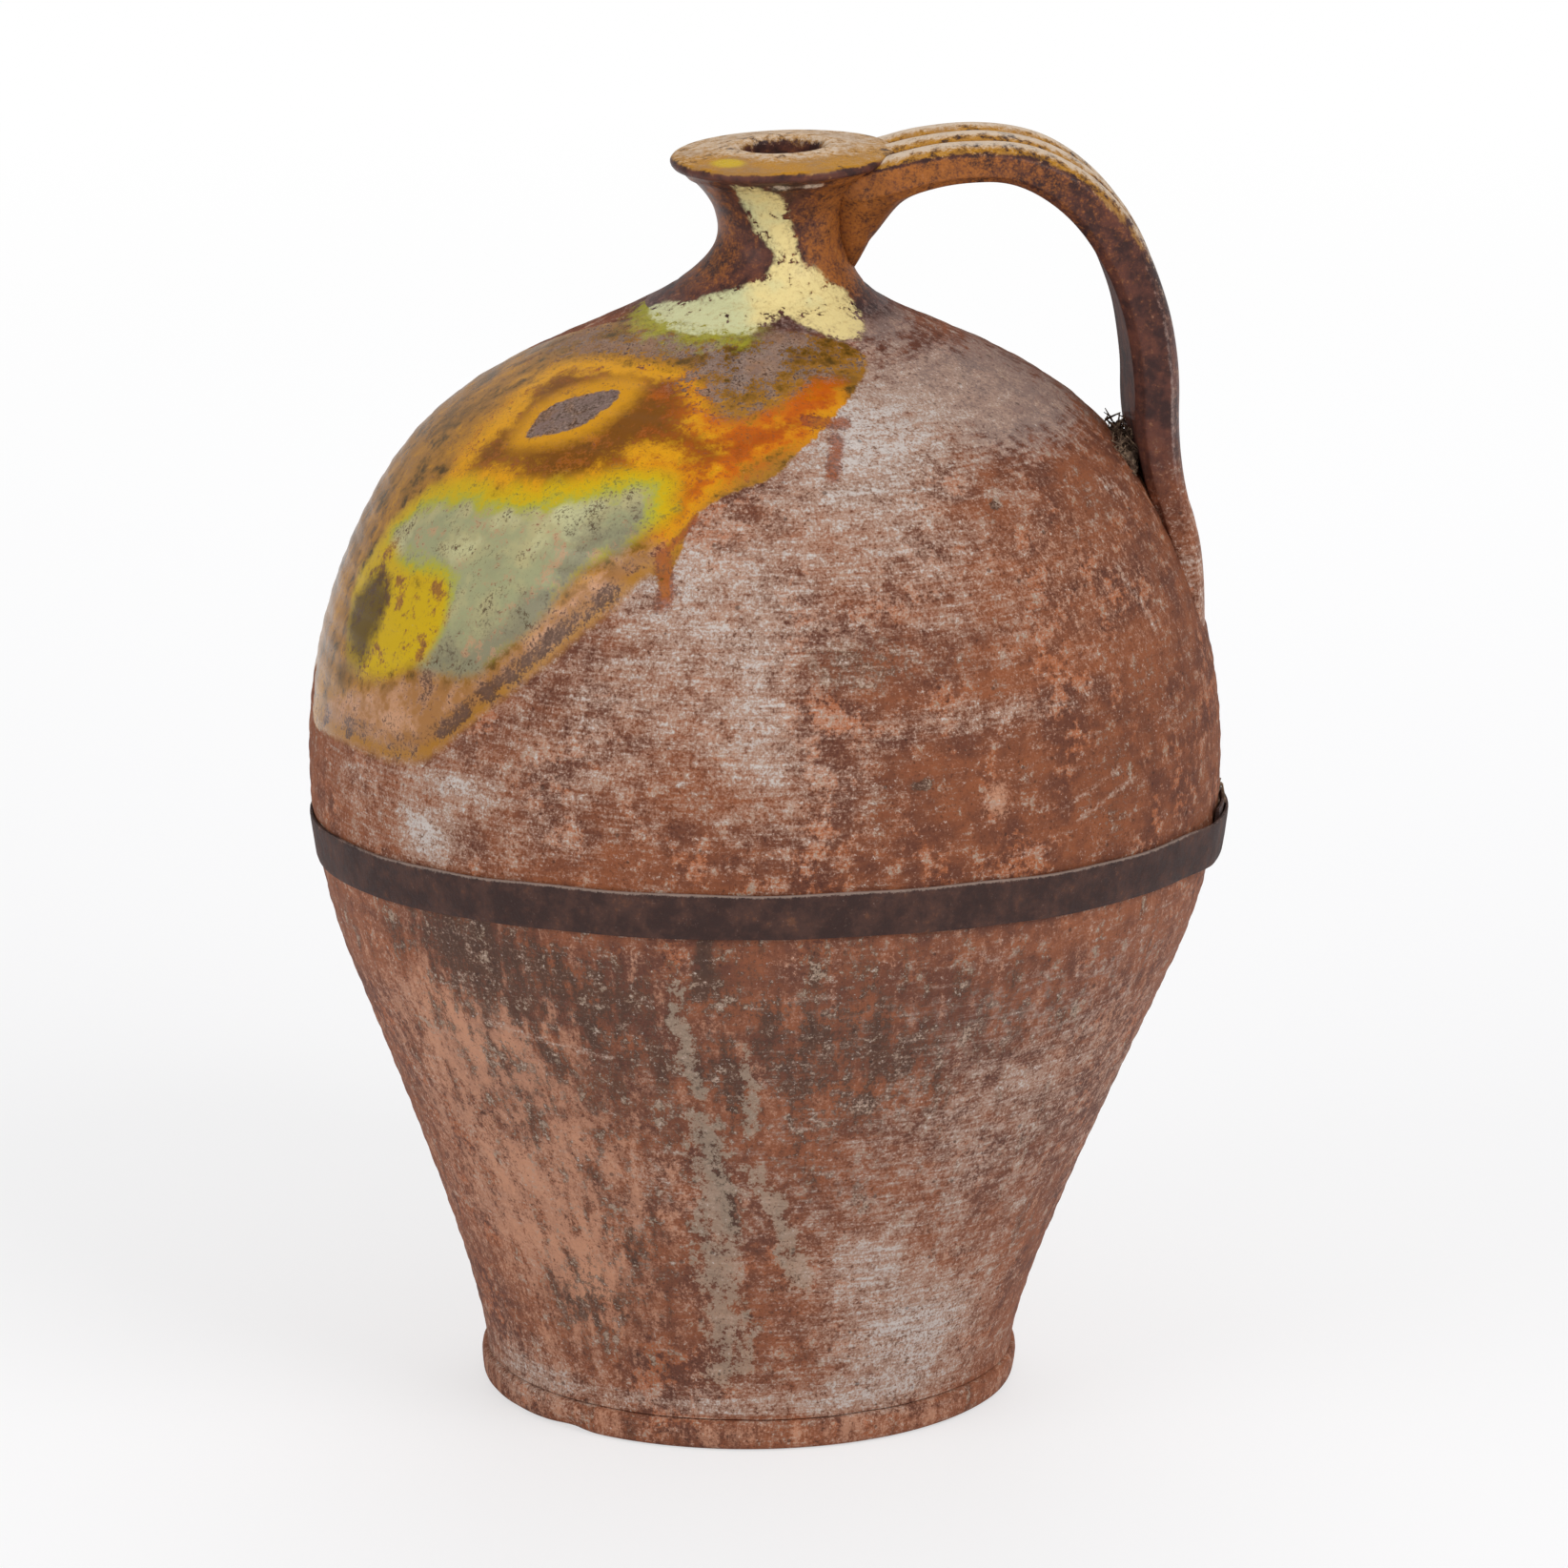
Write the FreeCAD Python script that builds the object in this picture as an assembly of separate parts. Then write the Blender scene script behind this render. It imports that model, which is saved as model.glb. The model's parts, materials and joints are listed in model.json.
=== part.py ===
import FreeCAD, Part
import math
import os

V = FreeCAD.Vector
UP = V(0, 0, 1)

# Driving sizes of the jar, millimetres: base centre at the origin, handle towards +X
RIM_HEIGHT = 555.0
BELLY_RADIUS = 201.0
FOOT_RADIUS = 118.8
RIM_RADIUS = 49.0
MOUTH_RADIUS = 18.0
WALL = 10.0

# Strap handle
HANDLE_WIDTH = 66.0
HANDLE_THICKNESS = 17.0

# Iron hoop and its rivets
HOOP_WIDTH = 20.0
HOOP_THICKNESS = 1.6
RIVET_RADIUS = 3.0
HOOP_CLEARANCE = 0.05
LAP_CLEARANCE = 0.25
RIVET_CLEARANCE = 0.03

# Angles in degrees: the two ends of the belly's arc, the shoulder's rise at the neck, and the lap
LOWER_TURN = 22.9
SHOULDER_TURN = 31.8
NECK_ROOT_RISE = 30.0
LAP_START = -16.0
LAP_ANGLE = 34.0

# Body sizes that follow from the driving sizes
BELLY_HEIGHT = 0.5169 * RIM_HEIGHT
BELLY_CURVE = 0.4185 * RIM_HEIGHT
BELLY_LEAN = 0.0371 * BELLY_RADIUS
LEAN_HEIGHT = 0.817 * BELLY_HEIGHT
FOOT_HEIGHT = 0.118 * FOOT_RADIUS
FOOT_STEP = 0.01 * FOOT_RADIUS
SEAM_BEVEL = 0.6 * WALL
BIG = 2.0 * (RIM_HEIGHT + BELLY_RADIUS)

# Neck sizes that follow
NECK_OFFSET = 0.077 * BELLY_RADIUS
NECK_ROOT_RADIUS = 1.073 * RIM_RADIUS
NECK_ROOT_HEIGHT = 0.8793 * RIM_HEIGHT
NECK_CLIMB = RIM_HEIGHT - NECK_ROOT_HEIGHT
WAIST_RADIUS = MOUTH_RADIUS + WALL
WAIST_HEIGHT = NECK_ROOT_HEIGHT + 0.48 * NECK_CLIMB
SHIFT_START = NECK_ROOT_HEIGHT - 0.1 * NECK_CLIMB
RIM_EDGE = 0.5 * WALL
MOUTH_EASE = 0.25 * WALL

# Handle sizes that follow
HANDLE_REACH = BELLY_LEAN + 0.795 * BELLY_RADIUS
GRIP_HEIGHT = 0.8018 * RIM_HEIGHT
ARCH_HEIGHT = RIM_HEIGHT - 0.2 * RIM_RADIUS
TAIL_HEIGHT = 0.645 * RIM_HEIGHT
TAIL_SINK = 0.6 * HANDLE_THICKNESS

# Hoop sizes that follow
HOOP_HEIGHT = BELLY_HEIGHT - 0.061 * RIM_HEIGHT
HOOP_LIFT = 0.0667 * BELLY_RADIUS
RIVET_STANDOFF = 0.75 * HOOP_THICKNESS
RIVET_HEAD = 2.17 * RIVET_RADIUS


def lean(z):
    """Sideways place of the jar's centre at a height."""
    low = BELLY_LEAN * min(max(z, 0.0) / LEAN_HEIGHT, 1.0)
    t = min(max((z - SHIFT_START) / (WAIST_HEIGHT - SHIFT_START), 0.0), 1.0)
    return low + (NECK_OFFSET - BELLY_LEAN) * t * t * (3.0 - 2.0 * t)


def bezier(p0, p1, p2, p3, t):
    """Point and direction on a cubic curve: two place values, then two direction values."""
    s = 1.0 - t
    place = []
    way = []
    for a, b, c, d in zip(p0, p1, p2, p3):
        place.append(s ** 3 * a + 3 * s * s * t * b + 3 * s * t * t * c + t ** 3 * d)
        way.append(s * s * (b - a) + 2 * s * t * (c - b) + t * t * (d - c))
    return place + way


def belly_point(degrees):
    """Point and direction on the belly's arc, counted from its widest level."""
    a = math.radians(degrees)
    r = BELLY_RADIUS - BELLY_CURVE + BELLY_CURVE * math.cos(a)
    return [r, BELLY_HEIGHT + BELLY_CURVE * math.sin(a), -math.sin(a), math.cos(a)]


def belly_radius(z):
    """Outer radius of the belly's arc at a height."""
    rise = min(abs(z - BELLY_HEIGHT), 0.9 * BELLY_CURVE)
    return BELLY_RADIUS - BELLY_CURVE + math.sqrt(BELLY_CURVE ** 2 - rise ** 2)


def wall_stations():
    """Radius, height and direction down the outer wall, from the foot to the neck's root."""
    low = belly_point(-LOWER_TURN)
    high = belly_point(SHOULDER_TURN)
    start = (FOOT_RADIUS - FOOT_STEP, FOOT_HEIGHT)
    rise = low[1] - start[1]
    start_pull = (start[0], start[1] + 0.136 * rise)
    low_pull = (low[0] - 0.518 * rise * low[2], low[1] - 0.518 * rise * low[3])
    root = (NECK_ROOT_RADIUS, NECK_ROOT_HEIGHT)
    reach = 0.37 * math.hypot(high[0] - root[0], high[1] - root[1])
    slope = math.radians(NECK_ROOT_RISE)
    high_pull = (high[0] + reach * high[2], high[1] + reach * high[3])
    root_pull = (root[0] + reach * math.cos(slope), root[1] - reach * math.sin(slope))
    stations = [bezier(start, start_pull, low_pull, low[:2], i / 7) for i in range(7)]
    turn = LOWER_TURN + SHOULDER_TURN
    stations += [belly_point(-LOWER_TURN + turn * i / 6) for i in range(6)]
    stations += [bezier(high[:2], high_pull, root_pull, root, i / 7) for i in range(8)]
    return stations


def ring(radius, z, centre):
    """Level circle as a wire."""
    return Part.Wire(Part.makeCircle(radius, V(centre, 0, z), UP))


def skin(stations, inset):
    """Solid inside the wall's stations, drawn in by an even inset."""
    rings = []
    for r, z, dr, dz in stations:
        size = math.hypot(dr, dz)
        rings.append(ring(r - inset * dz / size, z + inset * dr / size, lean(z)))
    return Part.makeLoft(rings, True, False)


def turned(edges, centre):
    """Solid turned about an upright axis from edges drawn in the XZ plane at the origin."""
    solid = Part.Face(Part.Wire(edges)).revolve(V(0, 0, 0), UP, 360)
    solid.translate(V(centre, 0, 0))
    return solid


def polyline(points):
    """Straight edges joining radius and height pairs, closed."""
    corners = [V(r, 0, z) for r, z in points]
    return [Part.makeLine(a, b) for a, b in zip(corners, corners[1:] + corners[:1])]


def curve(points):
    """Smooth edge from radius and height poles."""
    bend = Part.BezierCurve()
    bend.setPoles([V(r, 0, z) for r, z in points])
    return bend.toShape()


def foot():
    """Low flange that the jar stands on, with eased edges."""
    ease = 0.2 * FOOT_HEIGHT
    inner = FOOT_RADIUS - 2.0 * FOOT_STEP
    outline = [(0, 0), (FOOT_RADIUS - ease, 0), (FOOT_RADIUS, ease), (FOOT_RADIUS, FOOT_HEIGHT - ease)]
    outline += [(inner, FOOT_HEIGHT), (0, FOOT_HEIGHT)]
    return turned(polyline(outline), 0.0)


def root_cone(extra):
    """Cone that parts the neck from the shoulder, longer at both ends by the extra."""
    slope = math.radians(NECK_ROOT_RISE)
    drop = WALL * math.cos(slope)
    back = WALL * math.sin(slope)
    grow = back / drop
    low = NECK_ROOT_HEIGHT - drop - extra
    cone = Part.makeCone(
        NECK_ROOT_RADIUS - back - grow * extra, NECK_ROOT_RADIUS + grow * extra, drop + 2 * extra
    )
    cone.translate(V(lean(NECK_ROOT_HEIGHT), 0, low))
    return cone


def seam_space():
    """Everything above the bevelled seam, tipped like the hoop that covers it."""
    middle = BELLY_RADIUS - 0.5 * WALL
    steep = SEAM_BEVEL / WALL
    outline = [(0, steep * middle), (BIG, steep * (middle - BIG)), (BIG, BIG), (0, BIG)]
    space = turned(polyline(outline), lean(HOOP_HEIGHT))
    tip = -math.degrees(math.atan2(HOOP_LIFT, BELLY_RADIUS))
    space.rotate(V(0, 0, 0), V(1, 0, 0), tip)
    space.translate(V(0, 0, HOOP_HEIGHT))
    return space


def neck_outside():
    """Whole outside of the neck and rim as one solid."""
    slope = math.radians(NECK_ROOT_RISE)
    climb = WAIST_HEIGHT - NECK_ROOT_HEIGHT
    root = (NECK_ROOT_RADIUS, NECK_ROOT_HEIGHT)
    reach = 0.38 * climb
    root_pull = (root[0] - reach * math.cos(slope), root[1] + reach * math.sin(slope))
    waist_pull = (WAIST_RADIUS, WAIST_HEIGHT - 0.44 * climb)
    waist = (WAIST_RADIUS, WAIST_HEIGHT)
    rings = []
    for i in range(7):
        r, z = bezier(root, root_pull, waist_pull, waist, i / 6)[:2]
        rings.append(ring(r, z, lean(z)))
    sweep = Part.makeLoft(rings, True, False)

    edge_low = RIM_HEIGHT - 0.6 * RIM_EDGE - RIM_EDGE
    edge_high = edge_low + RIM_EDGE
    tip = RIM_RADIUS - 0.5 * RIM_EDGE
    lift = edge_low - WAIST_HEIGHT
    under = [waist, (WAIST_RADIUS, WAIST_HEIGHT + 0.45 * lift)]
    under += [(0.487 * (WAIST_RADIUS + tip), edge_low - 0.25 * lift), (tip, edge_low)]
    lip = Part.Arc(
        V(tip, 0, edge_low), V(RIM_RADIUS, 0, edge_low + 0.5 * RIM_EDGE), V(tip, 0, edge_high)
    ).toShape()
    crown = [V(tip, 0, edge_high), V(MOUTH_RADIUS + 1.6 * MOUTH_EASE, 0, RIM_HEIGHT), V(0, 0, RIM_HEIGHT)]
    floor = V(0, 0, WAIST_HEIGHT)
    edges = [curve(under), lip, Part.makeLine(crown[0], crown[1]), Part.makeLine(crown[1], crown[2])]
    edges += [Part.makeLine(crown[2], floor), Part.makeLine(floor, V(WAIST_RADIUS, 0, WAIST_HEIGHT))]
    return sweep.fuse(turned(edges, NECK_OFFSET))


def throat():
    """Open way through the neck: an upright bore that flares into the jar."""
    slope = math.radians(NECK_ROOT_RISE)
    top = WAIST_HEIGHT - 0.6 * WALL
    low = NECK_ROOT_HEIGHT - WALL * math.cos(slope)
    wide = NECK_ROOT_RADIUS - WALL * math.sin(slope)
    span = top - low
    pull_low = (wide - 0.4 * span * math.cos(slope), low + 0.4 * span * math.sin(slope))
    pull_top = (MOUTH_RADIUS, top - 0.4 * span)
    rings = []
    for i in range(6):
        t = i / 5
        r, z = bezier((wide, low), pull_low, pull_top, (MOUTH_RADIUS, top), t)[:2]
        rings.append(ring(r, z, lean(NECK_ROOT_HEIGHT) * (1 - t) + NECK_OFFSET * t))
    bore = Part.makeCylinder(MOUTH_RADIUS, RIM_HEIGHT - top + WALL, V(NECK_OFFSET, 0, top))
    ease_low = V(NECK_OFFSET, 0, RIM_HEIGHT - 0.8 * MOUTH_EASE)
    ease = Part.makeCone(MOUTH_RADIUS, MOUTH_RADIUS + MOUTH_EASE, MOUTH_EASE, ease_low)
    return Part.makeLoft(rings, True, False).fuse([bore, ease]).removeSplitter()


def handle_path(t):
    """Inner face line of the strap in the XZ plane: root at 0, arch at 1, grip at 2, tail at 3."""
    arch_x = NECK_OFFSET + 1.75 * RIM_RADIUS
    if t <= 1.0:
        root = (NECK_OFFSET + 0.62 * RIM_RADIUS, ARCH_HEIGHT - 0.265 * RIM_RADIUS)
        pull = (root[0] + 0.3 * (arch_x - root[0]), root[1] + 0.122 * RIM_RADIUS)
        flat = (arch_x - 0.4 * (arch_x - root[0]), ARCH_HEIGHT)
        return bezier(root, pull, flat, (arch_x, ARCH_HEIGHT), t)
    if t <= 2.0:
        a = math.radians(90.0 * (2.0 - t))
        wide = HANDLE_REACH - arch_x
        high = ARCH_HEIGHT - GRIP_HEIGHT
        x = arch_x + wide * math.cos(a)
        z = GRIP_HEIGHT + high * math.sin(a)
        return [x, z, wide * math.sin(a), -high * math.cos(a)]
    drop = GRIP_HEIGHT - TAIL_HEIGHT
    turn = math.asin(min((TAIL_HEIGHT - BELLY_HEIGHT) / BELLY_CURVE, 0.9))
    end_x = lean(TAIL_HEIGHT) + belly_radius(TAIL_HEIGHT) - TAIL_SINK * math.cos(turn)
    end = (end_x, TAIL_HEIGHT - TAIL_SINK * math.sin(turn))
    back = (end[0] - 0.35 * drop * math.sin(turn), end[1] + 0.35 * drop * math.cos(turn))
    return bezier((HANDLE_REACH, GRIP_HEIGHT), (HANDLE_REACH, GRIP_HEIGHT - 0.35 * drop), back, end, t - 2)


def blend(values, t):
    """Even blend between values set at whole steps of t."""
    i = min(int(t), len(values) - 2)
    s = t - i
    s = s * s * (3.0 - 2.0 * s)
    return values[i] * (1 - s) + values[i + 1] * s


def strap_section(t):
    """Ribbed outline across the strap: flat inside, eased corners, three ribs outside."""
    x, z, dx, dz = handle_path(t)
    size = math.hypot(dx, dz)
    out = V(-dz / size, 0, dx / size)
    centre = V(x, 0, z)
    half = 0.5 * HANDLE_WIDTH * blend([1.0, 1.0, 1.03, 1.12], t)
    crest = HANDLE_THICKNESS * blend([1.12, 1.04, 1.0, 1.24, 1.22, 0.98, 0.74], 2 * t)
    crown = HANDLE_THICKNESS * blend([0.06, 0.06, 0.06, 0.24], t)
    rib = HANDLE_THICKNESS * blend([0.2, 0.27, 0.27, 0.1], t)
    ease = 0.14 * HANDLE_THICKNESS

    def spot(u, n):
        return centre + V(0, u, 0) + out * n

    def outside(part, ribbed):
        return spot(half * part, crest - crown * part * part - (0.0 if ribbed else rib))

    def bend(part):
        low, mid, high = (outside(p, r) for p, r in ((part, False), (part - 1 / 3, True), (part - 2 / 3, False)))
        return Part.Arc(low, mid, high).toShape()

    corner = ease * (1 - math.sqrt(0.5))
    side = spot(half, ease)
    edges = [Part.makeLine(spot(-half + ease, 0), spot(half - ease, 0))]
    edges.append(Part.Arc(spot(half - ease, 0), spot(half - corner, corner), side).toShape())
    edges.append(Part.makeLine(side, outside(1.0, False)))
    edges += [bend(1.0), bend(1 / 3), bend(-1 / 3)]
    edges.append(Part.makeLine(outside(-1.0, False), spot(-half, ease)))
    edges.append(Part.Arc(spot(-half, ease), spot(-half + corner, corner), spot(-half + ease, 0)).toShape())
    return Part.Wire(edges)


def root_web():
    """Wedge of clay that fills under the strap where it meets the neck."""
    half = 0.3 * HANDLE_WIDTH
    far = handle_path(0.55)
    inner = NECK_OFFSET + 0.4 * WAIST_RADIUS
    top = far[1] + 0.12 * HANDLE_THICKNESS
    foot_x = NECK_OFFSET + WAIST_RADIUS
    foot_z = WAIST_HEIGHT - 0.4 * (WAIST_HEIGHT - NECK_ROOT_HEIGHT)
    bow = V(foot_x + 0.47 * (far[0] - foot_x), -half, far[1] - 0.36 * (far[1] - foot_z))
    corner = [V(far[0], -half, far[1]), V(far[0], -half, top), V(inner, -half, top), V(inner, -half, foot_z)]
    foot_end = V(foot_x, -half, foot_z)
    edges = [Part.makeLine(a, b) for a, b in zip(corner, corner[1:] + [foot_end])]
    edges.append(Part.Arc(foot_end, bow, corner[0]).toShape())
    return Part.Face(Part.Wire(edges)).extrude(V(0, 2 * half, 0))


def smooth(t):
    """Soft step from 0 to 1."""
    t = min(max(t, 0.0), 1.0)
    return t * t * (3.0 - 2.0 * t)


def hoop_frame(degrees):
    """Middle of the strap's inner face, its outward way and its way across, at an angle."""
    a = math.radians(degrees)
    free_end = 1.0 - smooth((degrees - LAP_START) / LAP_ANGLE)
    z = HOOP_HEIGHT - HOOP_LIFT * math.sin(a) + 0.18 * HOOP_WIDTH * free_end
    rise = (z - BELLY_HEIGHT) / BELLY_CURVE
    level = math.sqrt(1.0 - rise * rise)
    out = V(level * math.cos(a), level * math.sin(a), rise)
    across = V(-rise * math.cos(a), -rise * math.sin(a), level)
    r = belly_radius(z)
    middle = V(lean(z) + r * math.cos(a), r * math.sin(a), z)
    off_body = 1.0 - smooth((degrees - LAP_START - LAP_ANGLE) / 25.0)
    over = smooth((degrees - LAP_START - 346.0) / 12.0)
    off = HOOP_CLEARANCE + RIVET_STANDOFF * max(off_body, over)
    off += over * (HOOP_THICKNESS + LAP_CLEARANCE)
    return middle + out * off, out, across


def hoop_corners(degrees):
    """Four corners of the cut across the strap at an angle."""
    middle, out, across = hoop_frame(degrees)
    half = across * (0.5 * HOOP_WIDTH)
    thick = out * HOOP_THICKNESS
    return [middle - half, middle + half, middle + half + thick, middle - half + thick]


def hoop_strap():
    """One long strap, wound once round the belly with its ends lapped."""
    count = 72
    shares = [i / count for i in range(count + 1)]
    cuts = [hoop_corners(LAP_START + (360.0 + LAP_ANGLE) * share) for share in shares]
    rails = []
    for corner in range(4):
        rail = Part.BSplineCurve()
        rail.interpolate(Points=[cut[corner] for cut in cuts], Parameters=shares)
        rails.append(rail.toShape())
    faces = [Part.makeRuledSurface(a, b) for a, b in zip(rails, rails[1:] + rails[:1])]
    faces += [Part.Face(Part.makePolygon(cut + cut[:1])) for cut in (cuts[0], cuts[-1])]
    shell = Part.makeShell(faces)
    shell.sewShape()
    strap = Part.makeSolid(shell)
    if strap.Volume < 0:
        strap.reverse()
    return strap


def rivet_frames():
    """Place and outward way of each rivet, on the inner face of the lap."""
    frames = []
    for share in (0.56, 0.82):
        middle, out, across = hoop_frame(LAP_START + LAP_ANGLE * share)
        frames.append((middle - across * (0.06 * HOOP_WIDTH), out))
    return frames


def rivet(middle, out):
    """Domed head outside, shank through both plies, thin head against the jar."""
    grip = 2 * HOOP_THICKNESS + LAP_CLEARANCE + RIVET_CLEARANCE
    bow = RIVET_HEAD ** 2 / (2 * BELLY_RADIUS) + RIVET_CLEARANCE
    deep = RIVET_STANDOFF - bow
    shank = Part.makeCylinder(RIVET_RADIUS, grip + deep, middle - out * deep, out)
    inner = Part.makeCylinder(RIVET_HEAD, deep - bow, middle - out * deep, out)
    high = 0.45 * RIVET_HEAD
    ball = (RIVET_HEAD ** 2 + high ** 2) / (2 * high)
    top = middle + out * grip
    dome = Part.makeSphere(ball, top - out * (ball - high))
    head = Part.makeCylinder(RIVET_HEAD, 2 * high, top, out).common(dome)
    return shank.fuse([inner, head]).removeSplitter()


def save(shape, name):
    """Write one node's file."""
    shape.exportStep("parts/" + name + ".step")


def main():
    os.makedirs("parts", exist_ok=True)
    stations = wall_stations()
    outside = skin([[stations[0][0], 0.1 * FOOT_HEIGHT, 0.0, 1.0]] + stations, 0.0)
    inside = skin(stations, WALL)
    vessel = outside.fuse(foot()).cut(inside).cut(root_cone(1.0))
    upper_space = seam_space()
    lower_body = vessel.cut(upper_space)
    upper_body = vessel.common(upper_space)

    neck_block = neck_outside()
    neck = neck_block.fuse(root_cone(0.0)).cut(throat()).removeSplitter()

    strap = Part.makeLoft([strap_section(i / 5) for i in range(16)], True, False)
    handle = strap.fuse(root_web()).cut(neck_block).cut(outside).removeSplitter()

    hoop = hoop_strap()
    rivets = []
    for middle, out in rivet_frames():
        rivets.append(rivet(middle, out))
        start = middle - out * (2 * HOOP_THICKNESS)
        hole = Part.makeCylinder(RIVET_RADIUS + RIVET_CLEARANCE, 7 * HOOP_THICKNESS, start, out)
        hoop = hoop.cut(hole)

    save(lower_body, "lower_body")
    save(upper_body, "upper_body")
    save(neck, "neck_and_rim")
    save(handle, "strap_handle")
    save(hoop, "iron_hoop")
    save(Part.makeCompound(rivets), "hoop_rivets")


main()
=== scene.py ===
import json
import logging
import math
from dataclasses import dataclass
from enum import Enum
from functools import cached_property
from typing import NamedTuple, Sequence

import bmesh
import bpy
import numpy as np
from mathutils import Euler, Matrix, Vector, noise


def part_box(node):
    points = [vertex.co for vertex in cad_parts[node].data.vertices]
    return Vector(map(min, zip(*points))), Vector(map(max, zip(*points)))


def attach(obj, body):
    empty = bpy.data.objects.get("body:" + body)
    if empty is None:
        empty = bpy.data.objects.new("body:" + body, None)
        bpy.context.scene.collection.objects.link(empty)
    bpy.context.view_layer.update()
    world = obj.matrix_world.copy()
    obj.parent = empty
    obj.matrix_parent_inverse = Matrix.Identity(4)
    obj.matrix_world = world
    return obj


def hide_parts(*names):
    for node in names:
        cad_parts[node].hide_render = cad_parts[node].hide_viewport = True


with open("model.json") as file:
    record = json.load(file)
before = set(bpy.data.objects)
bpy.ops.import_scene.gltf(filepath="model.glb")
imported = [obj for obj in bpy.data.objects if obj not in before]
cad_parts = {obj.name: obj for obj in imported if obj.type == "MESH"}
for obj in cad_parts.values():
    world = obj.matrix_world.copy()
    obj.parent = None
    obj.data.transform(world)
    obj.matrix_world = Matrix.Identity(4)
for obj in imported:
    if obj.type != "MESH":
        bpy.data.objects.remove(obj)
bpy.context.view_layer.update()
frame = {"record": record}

LOG = logging.getLogger("olive_jar")
BODY = "root"

# Lengths below are millimetres, turned into metres where a mesh is written
MM = 0.001
Points = Sequence[tuple[float, float]]
Socket = bpy.types.NodeSocket
Sockets = dict[str, Socket]


class Tone(Enum):
    """Colours of the clay, glazes, iron and caught debris, as sRGB bytes."""

    TERRACOTTA = (150, 88, 57)
    RED_BROWN = (104, 61, 46)
    ORANGE_CLAY = (186, 110, 70)
    DARK_CLAY = (66, 42, 34)
    PEACH = (204, 148, 116)
    SALMON = (188, 136, 108)
    STAIN = (74, 54, 44)
    SLATE_MAUVE = (150, 131, 123)
    BLOOM = (212, 203, 198)
    PINK_BLOOM = (192, 160, 140)
    DRIP = (166, 146, 126)
    PIT = (58, 40, 34)
    AMBER_BROWN = (166, 114, 38)
    AMBER = (122, 72, 6)
    ORANGE_GLAZE = (212, 118, 8)
    RED_GLAZE = (188, 78, 6)
    RED_DRIP = (160, 80, 38)
    HALO = (218, 152, 12)
    BRIGHT_YELLOW = (204, 168, 10)
    LIME = (172, 168, 52)
    OLIVE = (80, 58, 18)
    CELADON = (180, 170, 124)
    CELADON_GREY = (124, 118, 96)
    CELADON_MINT = (158, 158, 118)
    OCHRE = (164, 114, 66)
    OCHRE_SALMON = (198, 148, 112)
    CREAM = (234, 214, 150)
    CREAM_GREEN = (208, 208, 160)
    CHIP = (160, 138, 126)
    WORN_MAUVE = (134, 110, 102)
    MAROON = (100, 61, 51)
    DARK_MAROON = (62, 42, 40)
    ORANGE_SLIP = (172, 104, 46)
    GOLD = (184, 128, 30)
    GOLD_OCHRE = (164, 120, 66)
    WORN_WHITE = (214, 196, 176)
    WORN_GREY = (156, 136, 130)
    RUST_DARK = (58, 38, 34)
    RUST = (80, 53, 45)
    RUST_ORANGE = (122, 78, 54)
    RUST_DUST = (164, 142, 130)
    MOSS = (84, 64, 50)
    MOSS_PALE = (152, 128, 104)
    FLOOR = (246, 246, 248)

    @property
    def rgba(self) -> tuple[float, float, float, float]:
        """Linear colour with full alpha."""
        parts = (c / 255 for c in self.value)
        red, green, blue = (((c + 0.055) / 1.055) ** 2.4 if c > 0.04 else c / 12.92 for c in parts)
        return red, green, blue, 1.0


class Field(Enum):
    """Paint fields that the pieces carry as point attributes and the finishes read."""

    BLOOM = "bloom"
    STAIN = "stain"
    SALMON = "salmon"
    MAUVE = "mauve"
    DRIP = "drip"
    PATCH = "patch"
    AMBER = "amber"
    CELADON = "celadon"
    YELLOW = "yellow"
    OLIVE = "olive"
    OCHRE = "ochre"
    CHIP = "chip"
    WORN = "worn"
    CREAM = "cream"
    BEAD = "bead"
    MAROON = "maroon"
    GOLD = "gold"
    WEAR = "wear"
    ORANGE = "orange"
    GREY = "grey"
    DULL = "dull"


# Zones of the glaze patch, each drawn as one outline
GLAZE_ZONES = (
    Field.PATCH, Field.AMBER, Field.CELADON, Field.YELLOW, Field.OLIVE, Field.OCHRE, Field.CHIP, Field.WORN,
)
FAR_OUTSIDE = -99.0
SPIN_WELD = 0.002
STRAP_WELD = 0.01
SHARP_ANGLE = 50.0
MOST_PAINT = 1.5
NOISE_CONTRAST = 1.7


def smooth(value: np.ndarray, low: float, high: float) -> np.ndarray:
    """Soft step from 0 at low to 1 at high."""
    t = np.clip((np.asarray(value, float) - low) / (high - low), 0.0, 1.0)
    return t * t * (3.0 - 2.0 * t)


def bezier(poles: Points, count: int) -> np.ndarray:
    """Even samples of a cubic curve.

    Args:
        poles: Four radius and height pairs.
        count: Number of samples, both ends included.

    Returns:
        Array of radius and height rows.
    """
    t = np.linspace(0.0, 1.0, count)[:, None]
    a, b, c, d = np.array(poles, float)
    s = 1.0 - t
    return s**3 * a + 3 * s * s * t * b + 3 * s * t * t * c + t**3 * d


def flowing(points: Points, steps: int = 6) -> np.ndarray:
    """Closed smooth outline through given points.

    Args:
        points: Corners of the outline in order.
        steps: Samples between two corners.

    Returns:
        Array of outline points.
    """
    p = np.array(points, float)
    before, after, later = (np.roll(p, k, 0) for k in (1, -1, -2))
    rows = []
    for t in np.arange(steps) / steps:
        bend = (2 * before - 5 * p + 4 * after - later) * t * t
        turn = (3 * p - before - 3 * after + later) * t**3
        rows.append(0.5 * (2 * p + (after - before) * t + bend + turn))
    return np.stack(rows, 1).reshape(-1, 2)


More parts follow.
